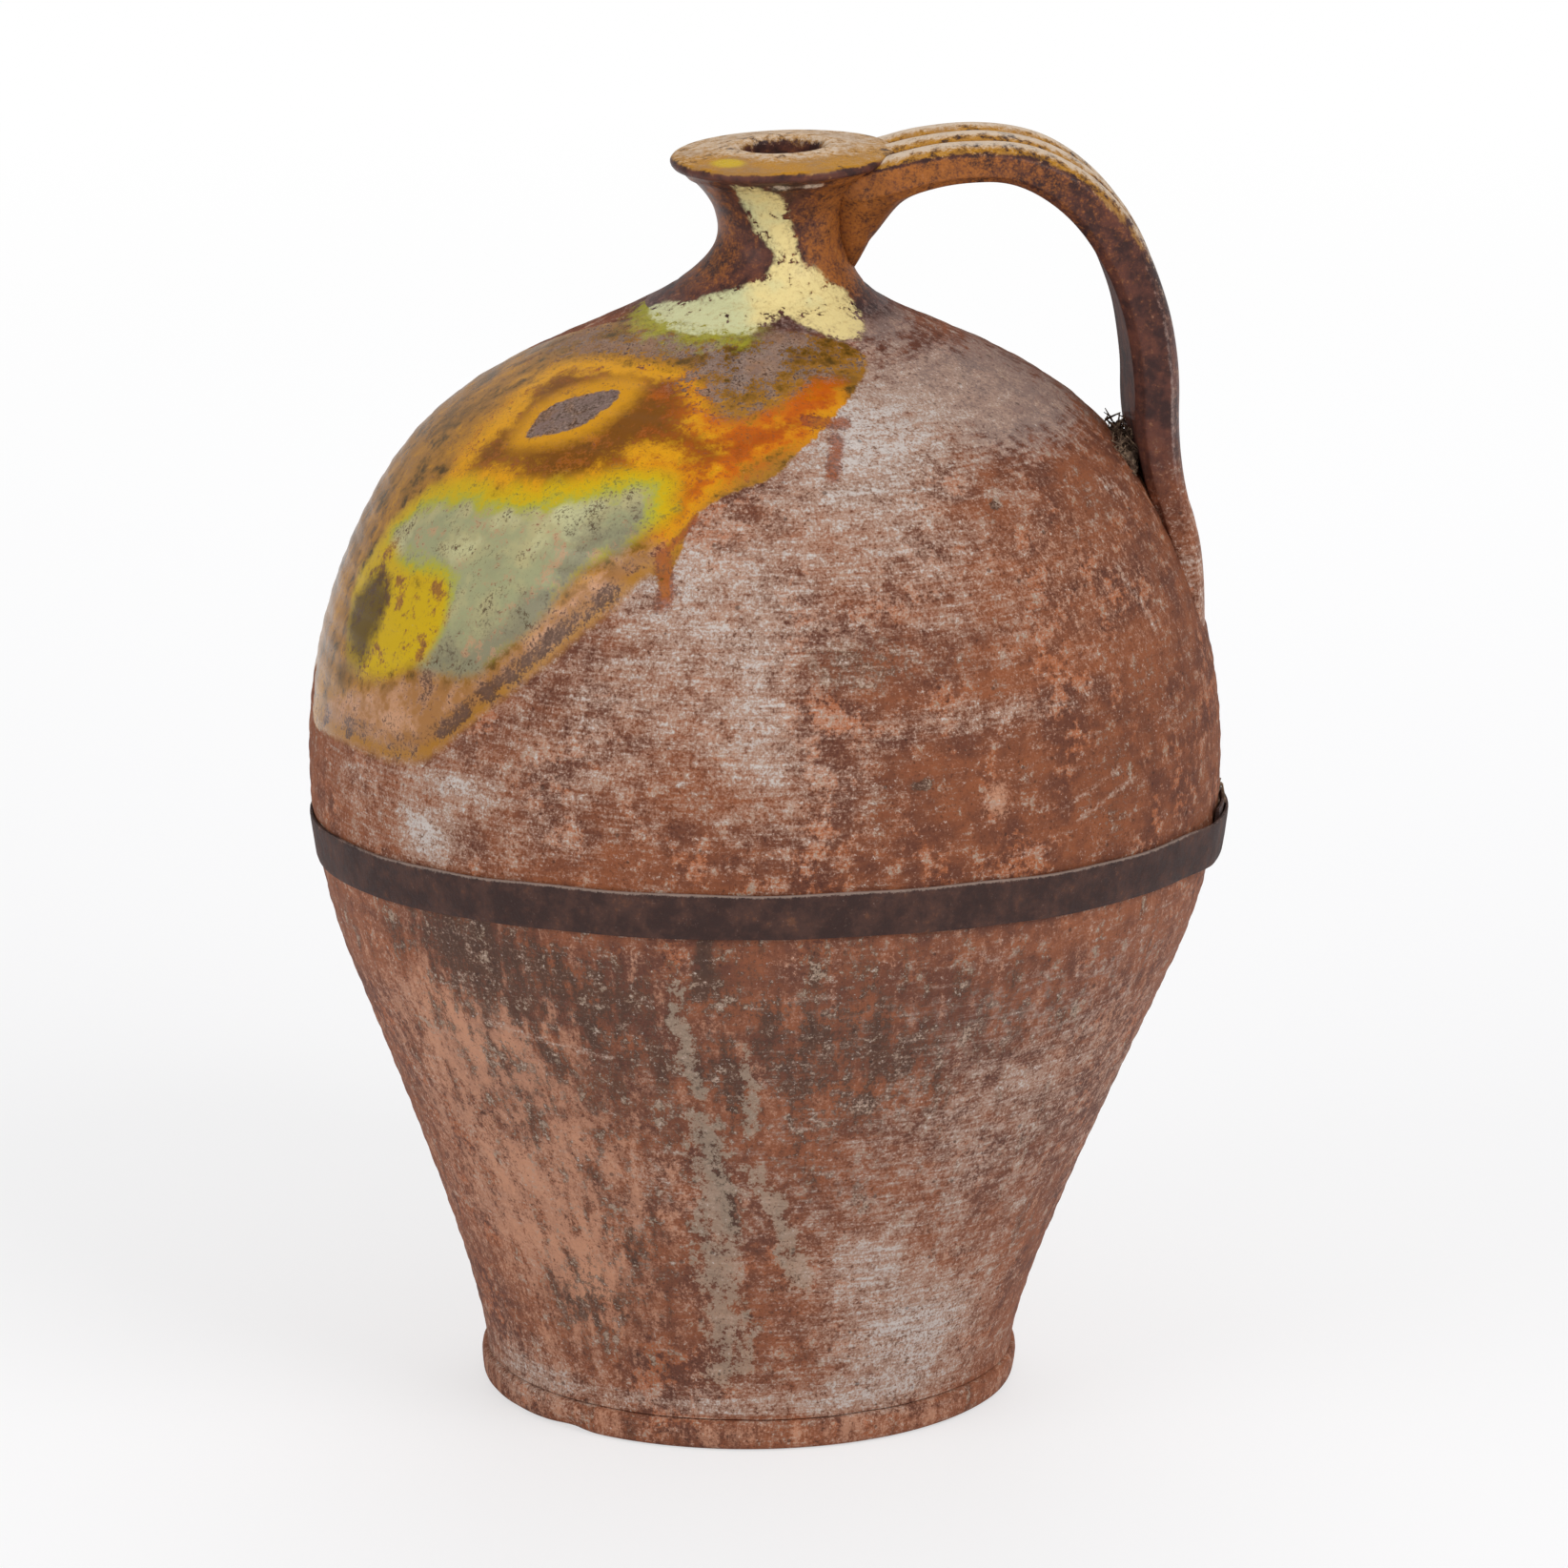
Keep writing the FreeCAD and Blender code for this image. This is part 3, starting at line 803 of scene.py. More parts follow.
class ShoulderGlaze(NodeGroup):
    """Lead glaze patch on the shoulder: amber, celadon, yellow and ochre that ran together."""

    name = "shoulder_glaze"
    zones = ("Patch", "Amber", "Celadon", "Yellow", "Olive", "Ochre", "Chip", "Worn", "Bead")
    inputs = {"Place": "Vector", "Clay": "Color"} | floats(*zones)
    outputs = {"Color": "Color"} | floats("Mask", "Height")
    patterns = {
        "broad": Pattern(22.0, 3.0),
        "patchy": Pattern(60.0),
        "mottle": Pattern(190.0, 6.0, 0.72),
        "grain": Pattern(760.0, 4.0, 0.75),
        "flow": Pattern(stretch=(9.0, 80.0, 80.0)),
    }

    def __init__(self, edge: RaggedEdge) -> None:
        """Build with the shared edge."""
        self.edge = edge
        super().__init__()

    def outer_brown(self, graph: Mixer) -> Socket:
        """Brown glaze of the patch outside its coloured zones."""
        glaze = graph.mix(graph.mask(-0.45, 0.05, patchy=1.0, mottle=0.9), Tone.OLIVE, Tone.AMBER_BROWN)
        glaze = graph.lay(glaze, Tone.OCHRE, 0.15, -0.05, 0.25, broad=1.0)
        glaze = graph.lay(glaze, Tone.WORN_MAUVE, 0.2, 0.15, 0.6, mottle=1.4, patchy=0.8, grain=1.0)
        glaze = graph.lay(glaze, Tone.HALO, 0.5, 0.05, 0.4, flow=1.0, patchy=0.8, mottle=0.5)
        return graph.lay(glaze, Tone.OLIVE, 0.55, 0.02, 0.4, flow=-1.0, broad=0.8, mottle=0.6)

    def honey(self, graph: Mixer) -> Socket:
        """Amber glaze, redder to the right and dark where it pooled."""
        deep = graph.mask(4.0, 22.0, amber=1.0, warp=2.0)
        red = graph.mask(-0.75, 0.25, side=12.0, patchy=1.6, mottle=1.0)
        honey = graph.mix(deep, graph.mix(red, Tone.HALO, Tone.ORANGE_GLAZE), Tone.AMBER)
        honey = graph.tint(honey, Tone.RED_GLAZE, 0.7, red)
        honey = graph.lay(honey, Tone.ORANGE_GLAZE, 0.55, 0.1, 0.5, mottle=1.2, patchy=1.0, grain=0.7)
        return graph.lay(honey, Tone.OLIVE, 0.4, 0.12, 0.45, mottle=-1.0, grain=-1.0, patchy=0.4)

    def green(self, graph: Mixer) -> Socket:
        """Celadon glaze, greyer towards the ochre border, with rosy and dark specks."""
        green = graph.mix(graph.mask(-0.15, 0.15, broad=1.0, patchy=0.8), Tone.CELADON_MINT, Tone.CELADON)
        green = graph.lay(green, Tone.CREAM_GREEN, 0.6, 0.05, 0.4, broad=1.4, flow=0.7, patchy=0.5)
        grey = graph.mask(-34.0, -8.0, ochre=1.0, warp=1.6)
        grey = graph.math("ADD", grey, graph.times(graph["flow"], 0.9), clamp=True)
        green = graph.tint(green, Tone.CELADON_GREY, 0.85, grey)
        green = graph.lay(green, Tone.OCHRE_SALMON, 0.6, 0.2, 0.55, mottle=1.2, patchy=-1.5, grain=0.7)
        cluster = graph.mask(0.06, 0.28, patchy=1.0, broad=0.6)
        speckled = graph.times(cluster, graph.mask(0.0, 0.22, grain=1.0, mottle=0.7))
        return graph.tint(green, Tone.OLIVE, 0.65, speckled)

    def bare(self, graph: Mixer, chip: Socket) -> Socket:
        """Rough clay where the glaze was rubbed or knocked off, scorched in the chip."""
        bare = graph.mix(graph.mask(-0.2, 0.2, mottle=1.0), Tone.WORN_MAUVE, Tone.CHIP)
        bare = graph.lay(bare, Tone.STAIN, 0.4, 0.0, 0.4, patchy=-1.2, mottle=0.8)
        bare = graph.lay(bare, Tone.OCHRE, 0.5, 0.02, 0.4, patchy=1.2, mottle=0.8)
        bare = graph.lay(bare, Tone.STAIN, 1.0, 0.05, 0.5, grain=1.2, mottle=1.0)
        bare = graph.lay(bare, Tone.PINK_BLOOM, 1.0, 0.15, 0.45, grain=-1.2, mottle=0.5)
        scorched = graph.times(chip, graph.mask(-0.3, 0.2, mottle=1.2, grain=1.0))
        return graph.tint(bare, Tone.STAIN, 0.55, scorched)

    def bordered(self, graph: Mixer, glaze: Socket, ochre: Socket) -> Socket:
        """Glaze with the matt ochre border, its brown rim and its soot."""
        border = graph.mix(graph.mask(-0.15, 0.2, patchy=1.0, mottle=0.8), Tone.OCHRE, Tone.OCHRE_SALMON)
        glaze = graph.mix(ochre, glaze, border)
        rim = graph.less(ochre, graph.mask(3.0, 8.0, patch=1.0, warp=0.35))
        glaze = graph.tint(glaze, Tone.AMBER_BROWN, 0.85, rim)
        soot_low = graph.mask(2.0, 6.0, patch=1.0, warp=0.4)
        graph.keep(band=graph.less(soot_low, graph.mask(10.0, 17.0, patch=1.0, warp=0.6)))
        soot = graph.mask(0.25, 0.95, band=0.6, mottle=1.4, grain=1.3, patchy=1.7, broad=1.6)
        return graph.tint(glaze, Tone.DARK_CLAY, 0.82, graph.times(soot, ochre))

    def wire(self, graph: Mixer) -> Sockets:
        """Run the zones into each other, then wear and chip them."""
        place = graph["place"]
        graph.keep(side=graph.sideways(), warp=graph.sum(broad=12.0, patchy=13.0, mottle=9.0, grain=4.0))
        chip = graph.group(self.edge, Place=place, Distance=graph["chip"], Rag=1.6, Soft=0.6).outputs[0]
        ochre = graph.mask(-5.0, 5.0, ochre=1.0, warp=0.5)
        soft = graph.total((ochre, 2.4), (0.8, 1.0))
        patch = graph.group(self.edge, Place=place, Distance=graph["patch"], Rag=1.6, Soft=soft).outputs[0]
        by_ochre = graph.mask(-16.0, -3.0, ochre=1.0, warp=0.5)

        amber = graph.mask(-6.0, 6.0, amber=1.0, warp=1.0)
        glaze = graph.mix(amber, self.outer_brown(graph), self.honey(graph))
        glaze = graph.lay(glaze, Tone.HALO, 0.85, -15.0, -2.0, chip=1.0, warp=0.6)
        rim = graph.math("SUBTRACT", amber, graph.mask(2.0, 10.0, patch=1.0, warp=0.9), clamp=True)
        glaze = graph.tint(glaze, Tone.HALO, 0.8, rim)
        fringe = graph.less(graph.mask(-14.0, -2.0, celadon=1.0, warp=1.0), by_ochre)
        glaze = graph.mix(fringe, glaze, Tone.BRIGHT_YELLOW)
        lime = graph.less(graph.mask(-4.0, 3.0, celadon=1.0, warp=0.9), by_ochre)
        glaze = graph.mix(lime, glaze, Tone.LIME)
        glaze = graph.mix(graph.mask(0.0, 9.0, celadon=1.0, warp=0.9), glaze, self.green(graph))
        glaze = self.bordered(graph, glaze, ochre)
        sun = graph.mix(graph.mask(0.04, 0.35, mottle=1.3, patchy=1.2), Tone.BRIGHT_YELLOW, Tone.AMBER_BROWN)
        glaze = graph.mix(graph.mask(-5.0, 5.0, yellow=1.0, warp=0.9), glaze, sun)
        glaze = graph.lay(glaze, Tone.OLIVE, 0.9, -9.0, 8.0, olive=1.0, warp=1.0)
        flecks = graph.mask(0.14, 0.5, grain=1.2, mottle=0.9, patchy=0.7)
        glaze = graph.tint(glaze, Tone.STAIN, 0.45, flecks)
        glaze = graph.lay(glaze, Tone.BLOOM, 0.35, 0.25, 0.45, grain=1.0, mottle=-0.6)

        worn = graph.mask(0.0, 0.35, worn=0.02, mottle=1.6, patchy=1.6, grain=1.0)
        worn = graph.times(worn, graph.step(graph["worn"], -12.0, -2.0))
        lost = graph.math("MAXIMUM", chip, worn)
        kept = graph.less(patch, lost)
        under = graph.mix(graph.times(lost, patch), graph["clay"], self.bare(graph, chip))
        color = graph.mix(kept, under, glaze)
        beaded = graph.mask(0.25, 0.8, bead=1.0, mottle=1.1, grain=0.9)
        drip = graph.mix(graph.mask(-0.1, 0.35, mottle=1.2, grain=1.0), Tone.RED_DRIP, Tone.RED_BROWN)
        color = graph.tint(color, drip, 0.8, beaded)
        graph.keep(kept=kept, flecks=flecks, beaded=beaded)
        height = graph.sum(kept=0.5, mottle=0.3, flecks=-0.2, beaded=0.4)
        return {"Color": color, "Mask": kept, "Height": height}


class RustedIron(NodeGroup):
    """Dark rusted strap iron with orange scale and pale dust."""

    name = "rusted_iron"
    inputs = {"Place": "Vector"} | floats("Wear")
    patterns = {
        "patchy": Pattern(55.0),
        "mottle": Pattern(240.0, 6.0, 0.7),
        "grain": Pattern(900.0, 4.0, 0.75),
    }

    def wire(self, graph: Mixer) -> Sockets:
        """Layer dark scale, rust bloom and dust."""
        color = graph.mix(graph.mask(-0.2, 0.25, patchy=1.0, mottle=0.8), Tone.RUST_DARK, Tone.RUST)
        color = graph.lay(color, Tone.RUST_ORANGE, 0.55, 0.2, 0.55, mottle=1.2, patchy=0.8)
        color = graph.lay(color, Tone.RUST_DUST, 0.35, 0.2, 0.45, grain=1.0, mottle=0.4)
        color = graph.lay(color, Tone.RUST_DUST, 0.7, 0.4, 0.9, wear=1.0, grain=1.0, mottle=0.8)
        height = graph.sum(mottle=1.0, grain=0.5, patchy=0.6)
        return {"Color": color, "Roughness": graph.sum(0.66, mottle=0.3), "Height": height}


@dataclass(frozen=True)
class Finish:
    """Material with one shader, its constant values and a bump of a set depth."""

    name: str
    bump_depth: float = 0.5
    specular: float = 0.5
    metallic: float = 0.0
    coat_roughness: float = 0.03

    def start(self) -> tuple[bpy.types.Material, Graph, Socket]:
        """New material with its graph and Object coordinates."""
        material = bpy.data.materials.new(self.name)
        material.use_nodes = True
        graph = Graph(material.node_tree)
        return material, graph, graph.add("TexCoord", {}).outputs["Object"]

    def close(
        self, graph: Graph, color: object, roughness: object, height: Socket, coat: object = 0.0
    ) -> None:
        """Feed the shader.

        Args:
            graph: The material's graph.
            color: Base colour.
            roughness: Roughness.
            height: Height for the bump.
            coat: Weight of the coat.
        """
        bump = graph.add("Bump", {"Strength": 1.0, "Distance": self.bump_depth * MM, "Height": height})
        values = {
            "Base Color": color,
            "Metallic": self.metallic,
            "Roughness": roughness,
            "Normal": bump.outputs[0],
            "Specular IOR Level": self.specular,
            "Coat Weight": coat,
            "Coat Roughness": self.coat_roughness,
        }
        shader = graph.tree.nodes["Principled BSDF"]
        for name, value in values.items():
            graph.feed(shader.inputs[name], value)


class Finishes:
    """The jar's materials, built once from the shared effects."""

    clay_fields = (Field.BLOOM, Field.STAIN, Field.SALMON, Field.MAUVE, Field.DRIP)
    slip_fields = (Field.ORANGE, Field.GOLD, Field.WEAR, Field.GREY, Field.DULL)

    def __init__(self) -> None:
        """Build the shared effects."""
        self.edge = RaggedEdge()
        self.clay = WeatheredClay(Spots())
        self.slip = FiredSlip()
        self.cream = CreamGlaze(self.edge)
        self.glaze = ShoulderGlaze(self.edge)
        self.iron = RustedIron()

    @cached_property
    def earthenware(self) -> bpy.types.Material:
        """Bare weathered clay of the lower body."""
        finish = Finish("weathered_earthenware", specular=0.35)
        material, graph, place = finish.start()
        clay = graph.group(self.clay, *self.clay_fields, Place=place, Runs=1.0)
        finish.close(graph, *clay.outputs)
        return material

    @cached_property
    def glazed_shoulder(self) -> bpy.types.Material:
        """Weathered clay with the glaze patch, slip round the neck's root and cream."""
        finish = Finish("glazed_shoulder", specular=0.18, coat_roughness=0.12)
        material, graph, place = finish.start()
        clay = graph.group(self.clay, *self.clay_fields, Place=place, Runs=0.35)
        bare, bare_rough, bare_height = clay.outputs
        glaze = graph.group(self.glaze, *GLAZE_ZONES, Field.BEAD, Place=place, Clay=bare)
        glazed, mask, height = glaze.outputs
        slip = graph.group(self.slip, *self.slip_fields, Place=place)
        reach = graph.field(Field.MAROON)
        root = graph.group(self.edge, Place=place, Distance=reach, Rag=4.0, Soft=7.0).outputs[0]
        under = graph.mix(root, glazed, slip.outputs["Color"])
        inside = graph.field(Field.CREAM)
        color, cream = graph.group(self.cream, Place=place, Under=under, Distance=inside, Halo=1.0).outputs
        glossy = graph.math("MAXIMUM", mask, cream)
        rough = graph.total((graph.less(bare_rough, glossy), 1.0), (glossy, 0.24))
        height = graph.total((graph.less(bare_height, glossy), 1.0), (height, 0.6))
        finish.close(graph, color, rough, height, coat=graph.times(glossy, 0.1))
        return material

    @cached_property
    def glazed_neck(self) -> bpy.types.Material:
        """Dark slip with gold glaze and cream, for the neck, rim and handle."""
        finish = Finish("glazed_neck", bump_depth=0.4, specular=0.12, coat_roughness=0.2)
        material, graph, place = finish.start()
        slip, slip_rough, slip_height = graph.group(self.slip, *self.slip_fields, Place=place).outputs
        clay = graph.group(self.clay, *self.clay_fields, Place=place, Runs=0.35)
        reach = graph.field(Field.MAROON)
        mask = graph.group(self.edge, Place=place, Distance=reach, Rag=5.0, Soft=12.0).outputs[0]
        under = graph.mix(mask, clay.outputs["Color"], slip)
        inside = graph.field(Field.CREAM)
        color, cream = graph.group(self.cream, Place=place, Under=under, Distance=inside, Halo=0.0).outputs
        rough = graph.total((slip_rough, 1.0), (cream, -0.1), (graph.rest(mask), 0.4))
        height = graph.total((slip_height, 1.0), (cream, 0.6))
        finish.close(graph, color, rough, height, coat=0.08)
        return material

    @cached_property
    def rusty_iron(self) -> bpy.types.Material:
        """Rust of the hoop and rivets."""
        finish = Finish("rusty_iron", specular=0.3, metallic=0.1)
        material, graph, place = finish.start()
        finish.close(graph, *graph.group(self.iron, Field.WEAR, Place=place).outputs)
        return material

    @cached_property
    def dry_moss(self) -> bpy.types.Material:
        """Dried moss and twigs."""
        finish = Finish("dry_moss", bump_depth=0.3)
        material, graph, place = finish.start()
        tuft = graph.noise(place, Pattern(420.0, 5.0))
        finish.close(graph, graph.mix(graph.step(tuft, -0.1, 0.25), Tone.MOSS, Tone.MOSS_PALE), 0.9, tuft)
        return material


class Dab(NamedTuple):
    """Soft mark on the wall: angle from the front and half angle in degrees, height and half height."""

    angle: float
    height: float
    half_angle: float
    half_height: float
    strength: float


class Stroke(NamedTuple):
    """Soft line on the wall: its width and its pairs of angle and height."""

    width: float
    line: Points


class ClayMarks:
    """Weathering of the wall, placed one by one: the front first, then the sides that the photograph hides.
    """

    bloom = (
        Dab(-50, 285, 5, 12, 1.0), Dab(-45, 310, 5, 5, 0.8), Dab(-40, 300, 22, 30, 0.4),
        Dab(-5, 350, 4, 40, 0.4), Dab(0, 320, 10, 30, 0.4), Dab(-10, 395, 15, 40, 0.65),
        Dab(-25, 350, 20, 35, 0.5), Dab(-20, 405, 8, 18, 0.5), Dab(25, 345, 15, 6, 0.5),
        Dab(15, 455, 18, 20, 0.5), Dab(12, 430, 15, 25, 0.6), Dab(35, 460, 40, 18, 0.68),
        Dab(25, 395, 22, 40, 0.4), Dab(-65, 300, 15, 60, 0.3),
        Dab(-40, 455, 0.7, 1.6, 2.0), Dab(-15, 440, 0.7, 1.6, 2.0),
        Dab(30, 50, 20, 30, 1.1), Dab(30, 130, 30, 55, 0.4), Dab(40, 175, 25, 30, 0.35),
        Dab(15, 90, 10, 20, 0.6), Dab(-60, 20, 22, 12, 0.7), Dab(0, 20, 45, 5, 0.5),
        Dab(15, 25, 40, 10, 0.4), Dab(-20, 135, 4, 14, 0.4), Dab(75, 140, 10, 30, 0.35),
        Dab(110, 300, 14, 40, 0.5), Dab(140, 420, 30, 35, 0.6), Dab(130, 25, 50, 10, 0.6),
        Dab(170, 120, 30, 60, 0.5), Dab(-150, 330, 30, 40, 0.5), Dab(-150, 20, 30, 8, 0.7),
        Dab(-120, 170, 12, 50, 0.5), Dab(-110, 60, 20, 40, 0.8),
    )
    stain = (
        Dab(15, 320, 1.5, 2.5, 1.6), Dab(35, 425, 1, 2, 1.8), Dab(-45, 240, 15, 25, 0.9),
        Dab(-40, 60, 10, 25, 0.7), Dab(-55, 260, 8, 8, 0.5), Dab(5, 370, 7, 15, 0.5),
        Dab(15, 370, 15, 20, 0.45), Dab(-25, 230, 10, 18, 0.4), Dab(20, 260, 20, 15, 0.3),
        Dab(-35, 320, 6, 10, 0.4), Dab(35, 385, 15, 30, 0.25), Dab(5, 205, 40, 45, 0.72),
        Dab(-10, 120, 20, 90, 0.25), Dab(25, 140, 25, 50, 0.25), Dab(-35, 150, 15, 60, 0.3),
        Dab(-25, 80, 10, 40, 0.35), Dab(-45, 190, 15, 40, 0.3), Dab(60, 330, 18, 30, 0.3),
        Dab(100, 120, 18, 70, 0.5), Dab(150, 225, 40, 25, 0.7), Dab(-165, 400, 25, 30, 0.45),
        Dab(-120, 215, 25, 40, 0.6),
    )
    salmon = (
        Dab(0, 7, 180, 7, 0.5), Dab(25, 310, 2, 8, 1.2), Dab(-45, 125, 30, 85, 0.8),
        Dab(-50, 195, 15, 30, 0.6), Dab(-40, 80, 15, 30, 0.4), Dab(50, 390, 22, 40, 0.35),
        Dab(55, 190, 18, 45, 0.3), Dab(120, 150, 40, 90, 0.5), Dab(165, 330, 15, 40, 0.6),
        Dab(-140, 90, 30, 60, 0.5),
    )
    mauve = (
        Dab(55, 465, 45, 10, 0.9), Dab(55, 485, 35, 6, 0.9), Dab(65, 450, 30, 10, 0.7),
        Dab(45, 455, 30, 25, 0.35), Dab(30, 130, 60, 90, 0.32), Dab(35, 215, 40, 25, 0.25),
        Dab(150, 440, 60, 40, 0.5), Dab(-160, 300, 40, 90, 0.35),
    )
    drips = (
        Stroke(7, ((-15, 230), (-15, 200))), Stroke(5, ((-15, 198), (-13, 175))),
        Stroke(11, ((-12, 165), (-11, 140))), Stroke(14, ((-11, 130), (-10, 40))),
        Stroke(8, ((-5, 140), (5, 85))), Stroke(5, ((-7, 205), (-5, 160))),
        Stroke(9, ((150, 235), (152, 100))), Stroke(7, ((-128, 240), (-128, 150))),
    )
    scratches = (
        Stroke(2.2, ((55, 390), (60, 360))), Stroke(1.6, ((35, 300), (45, 312))),
        Stroke(1.4, ((38, 295), (48, 305))), Stroke(1.8, ((-45, 205), (-25, 195))),
        *(Stroke(1.4, ((63 + k, 424 - k), (65 + k, 413 - k))) for k in (0, 2, 4)),
    )
    beads = (
        Stroke(5, ((9.5, 452), (8.5, 442))), Stroke(3, ((4, 459), (13, 458))),
        Stroke(6, ((-19, 413), (-19, 395))), Stroke(2.4, ((-15, 427), (-19, 413))),
    )
    runs = (Stroke(5, ((-12, 160), (-8, 112))), Stroke(5, ((-12, 255), (-12, 230))))
    foot_chips = (
        Dab(-47, 1, 5, 4, 3.0), Dab(21, 12, 4, 3, 1.2), Dab(-8, 13, 7, 2, 0.8),
        Dab(96, 2, 6, 4, 2.0), Dab(171, 11, 6, 4, 1.8), Dab(-128, 1, 7, 5, 2.4),
    )


class GlazeMap:
    """Glaze zones drawn on the shoulder unrolled about the neck: right and towards the back."""

    patch: Points = (
        (40, -65), (30, -100), (10, -130), (-10, -150), (-40, -160), (-55, -180), (-65, -200), (-70, -185),
        (-100, -195), (-150, -200), (-210, -190), (-245, -165), (-280, -100), (-300, -30), (-280, 0),
        (-305, 35), (-270, 50), (-260, 90), (-225, 80), (-205, 120), (-180, 90), (-150, 110), (-120, 60),
        (-75, 5), (-25, -50), (10, -55),
    )
    amber: Points = (
        (-160, -70), (-130, -50), (-95, -25), (-60, -55), (-35, -80), (-25, -110), (-10, -110), (15, -90),
        (30, -90), (25, -115), (0, -135), (-40, -160), (-60, -180), (-65, -195), (-65, -170), (-55, -140),
        (-110, -130), (-145, -95),
    )
    celadon: Points = (
        (-165, -75), (-125, -120), (-95, -135), (-60, -145), (-75, -175), (-100, -175), (-140, -185),
        (-180, -180), (-210, -145), (-190, -140), (-175, -125), (-195, -95), (-200, -60),
    )
    yellow: Points = (
        (-215, -45), (-200, -60), (-195, -95), (-175, -125), (-190, -145), (-230, -125), (-250, -85),
        (-230, -45),
    )
    olive: Points = ((-220, -60), (-210, -90), (-245, -95), (-240, -60))
    ochre: Points = (
        (-60, -175), (-100, -175), (-140, -185), (-180, -180), (-210, -150), (-245, -115), (-275, -70),
        (-290, -65), (-270, -140), (-230, -190), (-150, -205), (-95, -200),
    )
    chip: Points = ((-115, -80), (-100, -65), (-70, -75), (-90, -90))
    worn: Points = (
        (-100, -5), (-75, 5), (-25, -45), (25, -50), (45, -60), (15, -85), (-25, -105), (-55, -60),
    )
    # Cream is drawn by degrees from the front and by length up the neck from its root
    cream: Points = (
        (-35, 75), (-10, 70), (5, 50), (15, 35), (30, 30), (50, 15), (40, -10), (25, -10), (5, 10), (-15, -5),
        (-60, -5), (-80, 5), (-40, 20), (-15, 30), (-10, 40), (-30, 50),
    )
    cream_scale = 0.6

    @classmethod
    def cream_edge(cls, turn: np.ndarray, climb: np.ndarray) -> np.ndarray:
        """Distance to the cream's edge.

        Args:
            turn: Angle from the front in radians.
            climb: Length up the surface from the neck's root.

        Returns:
            Signed distance, positive inside.
        """
        scale = np.array([cls.cream_scale, 1.0])
        places = np.stack([np.degrees(turn), climb], -1) * scale
        return inside_distance(places, flowing(cls.cream) * scale)


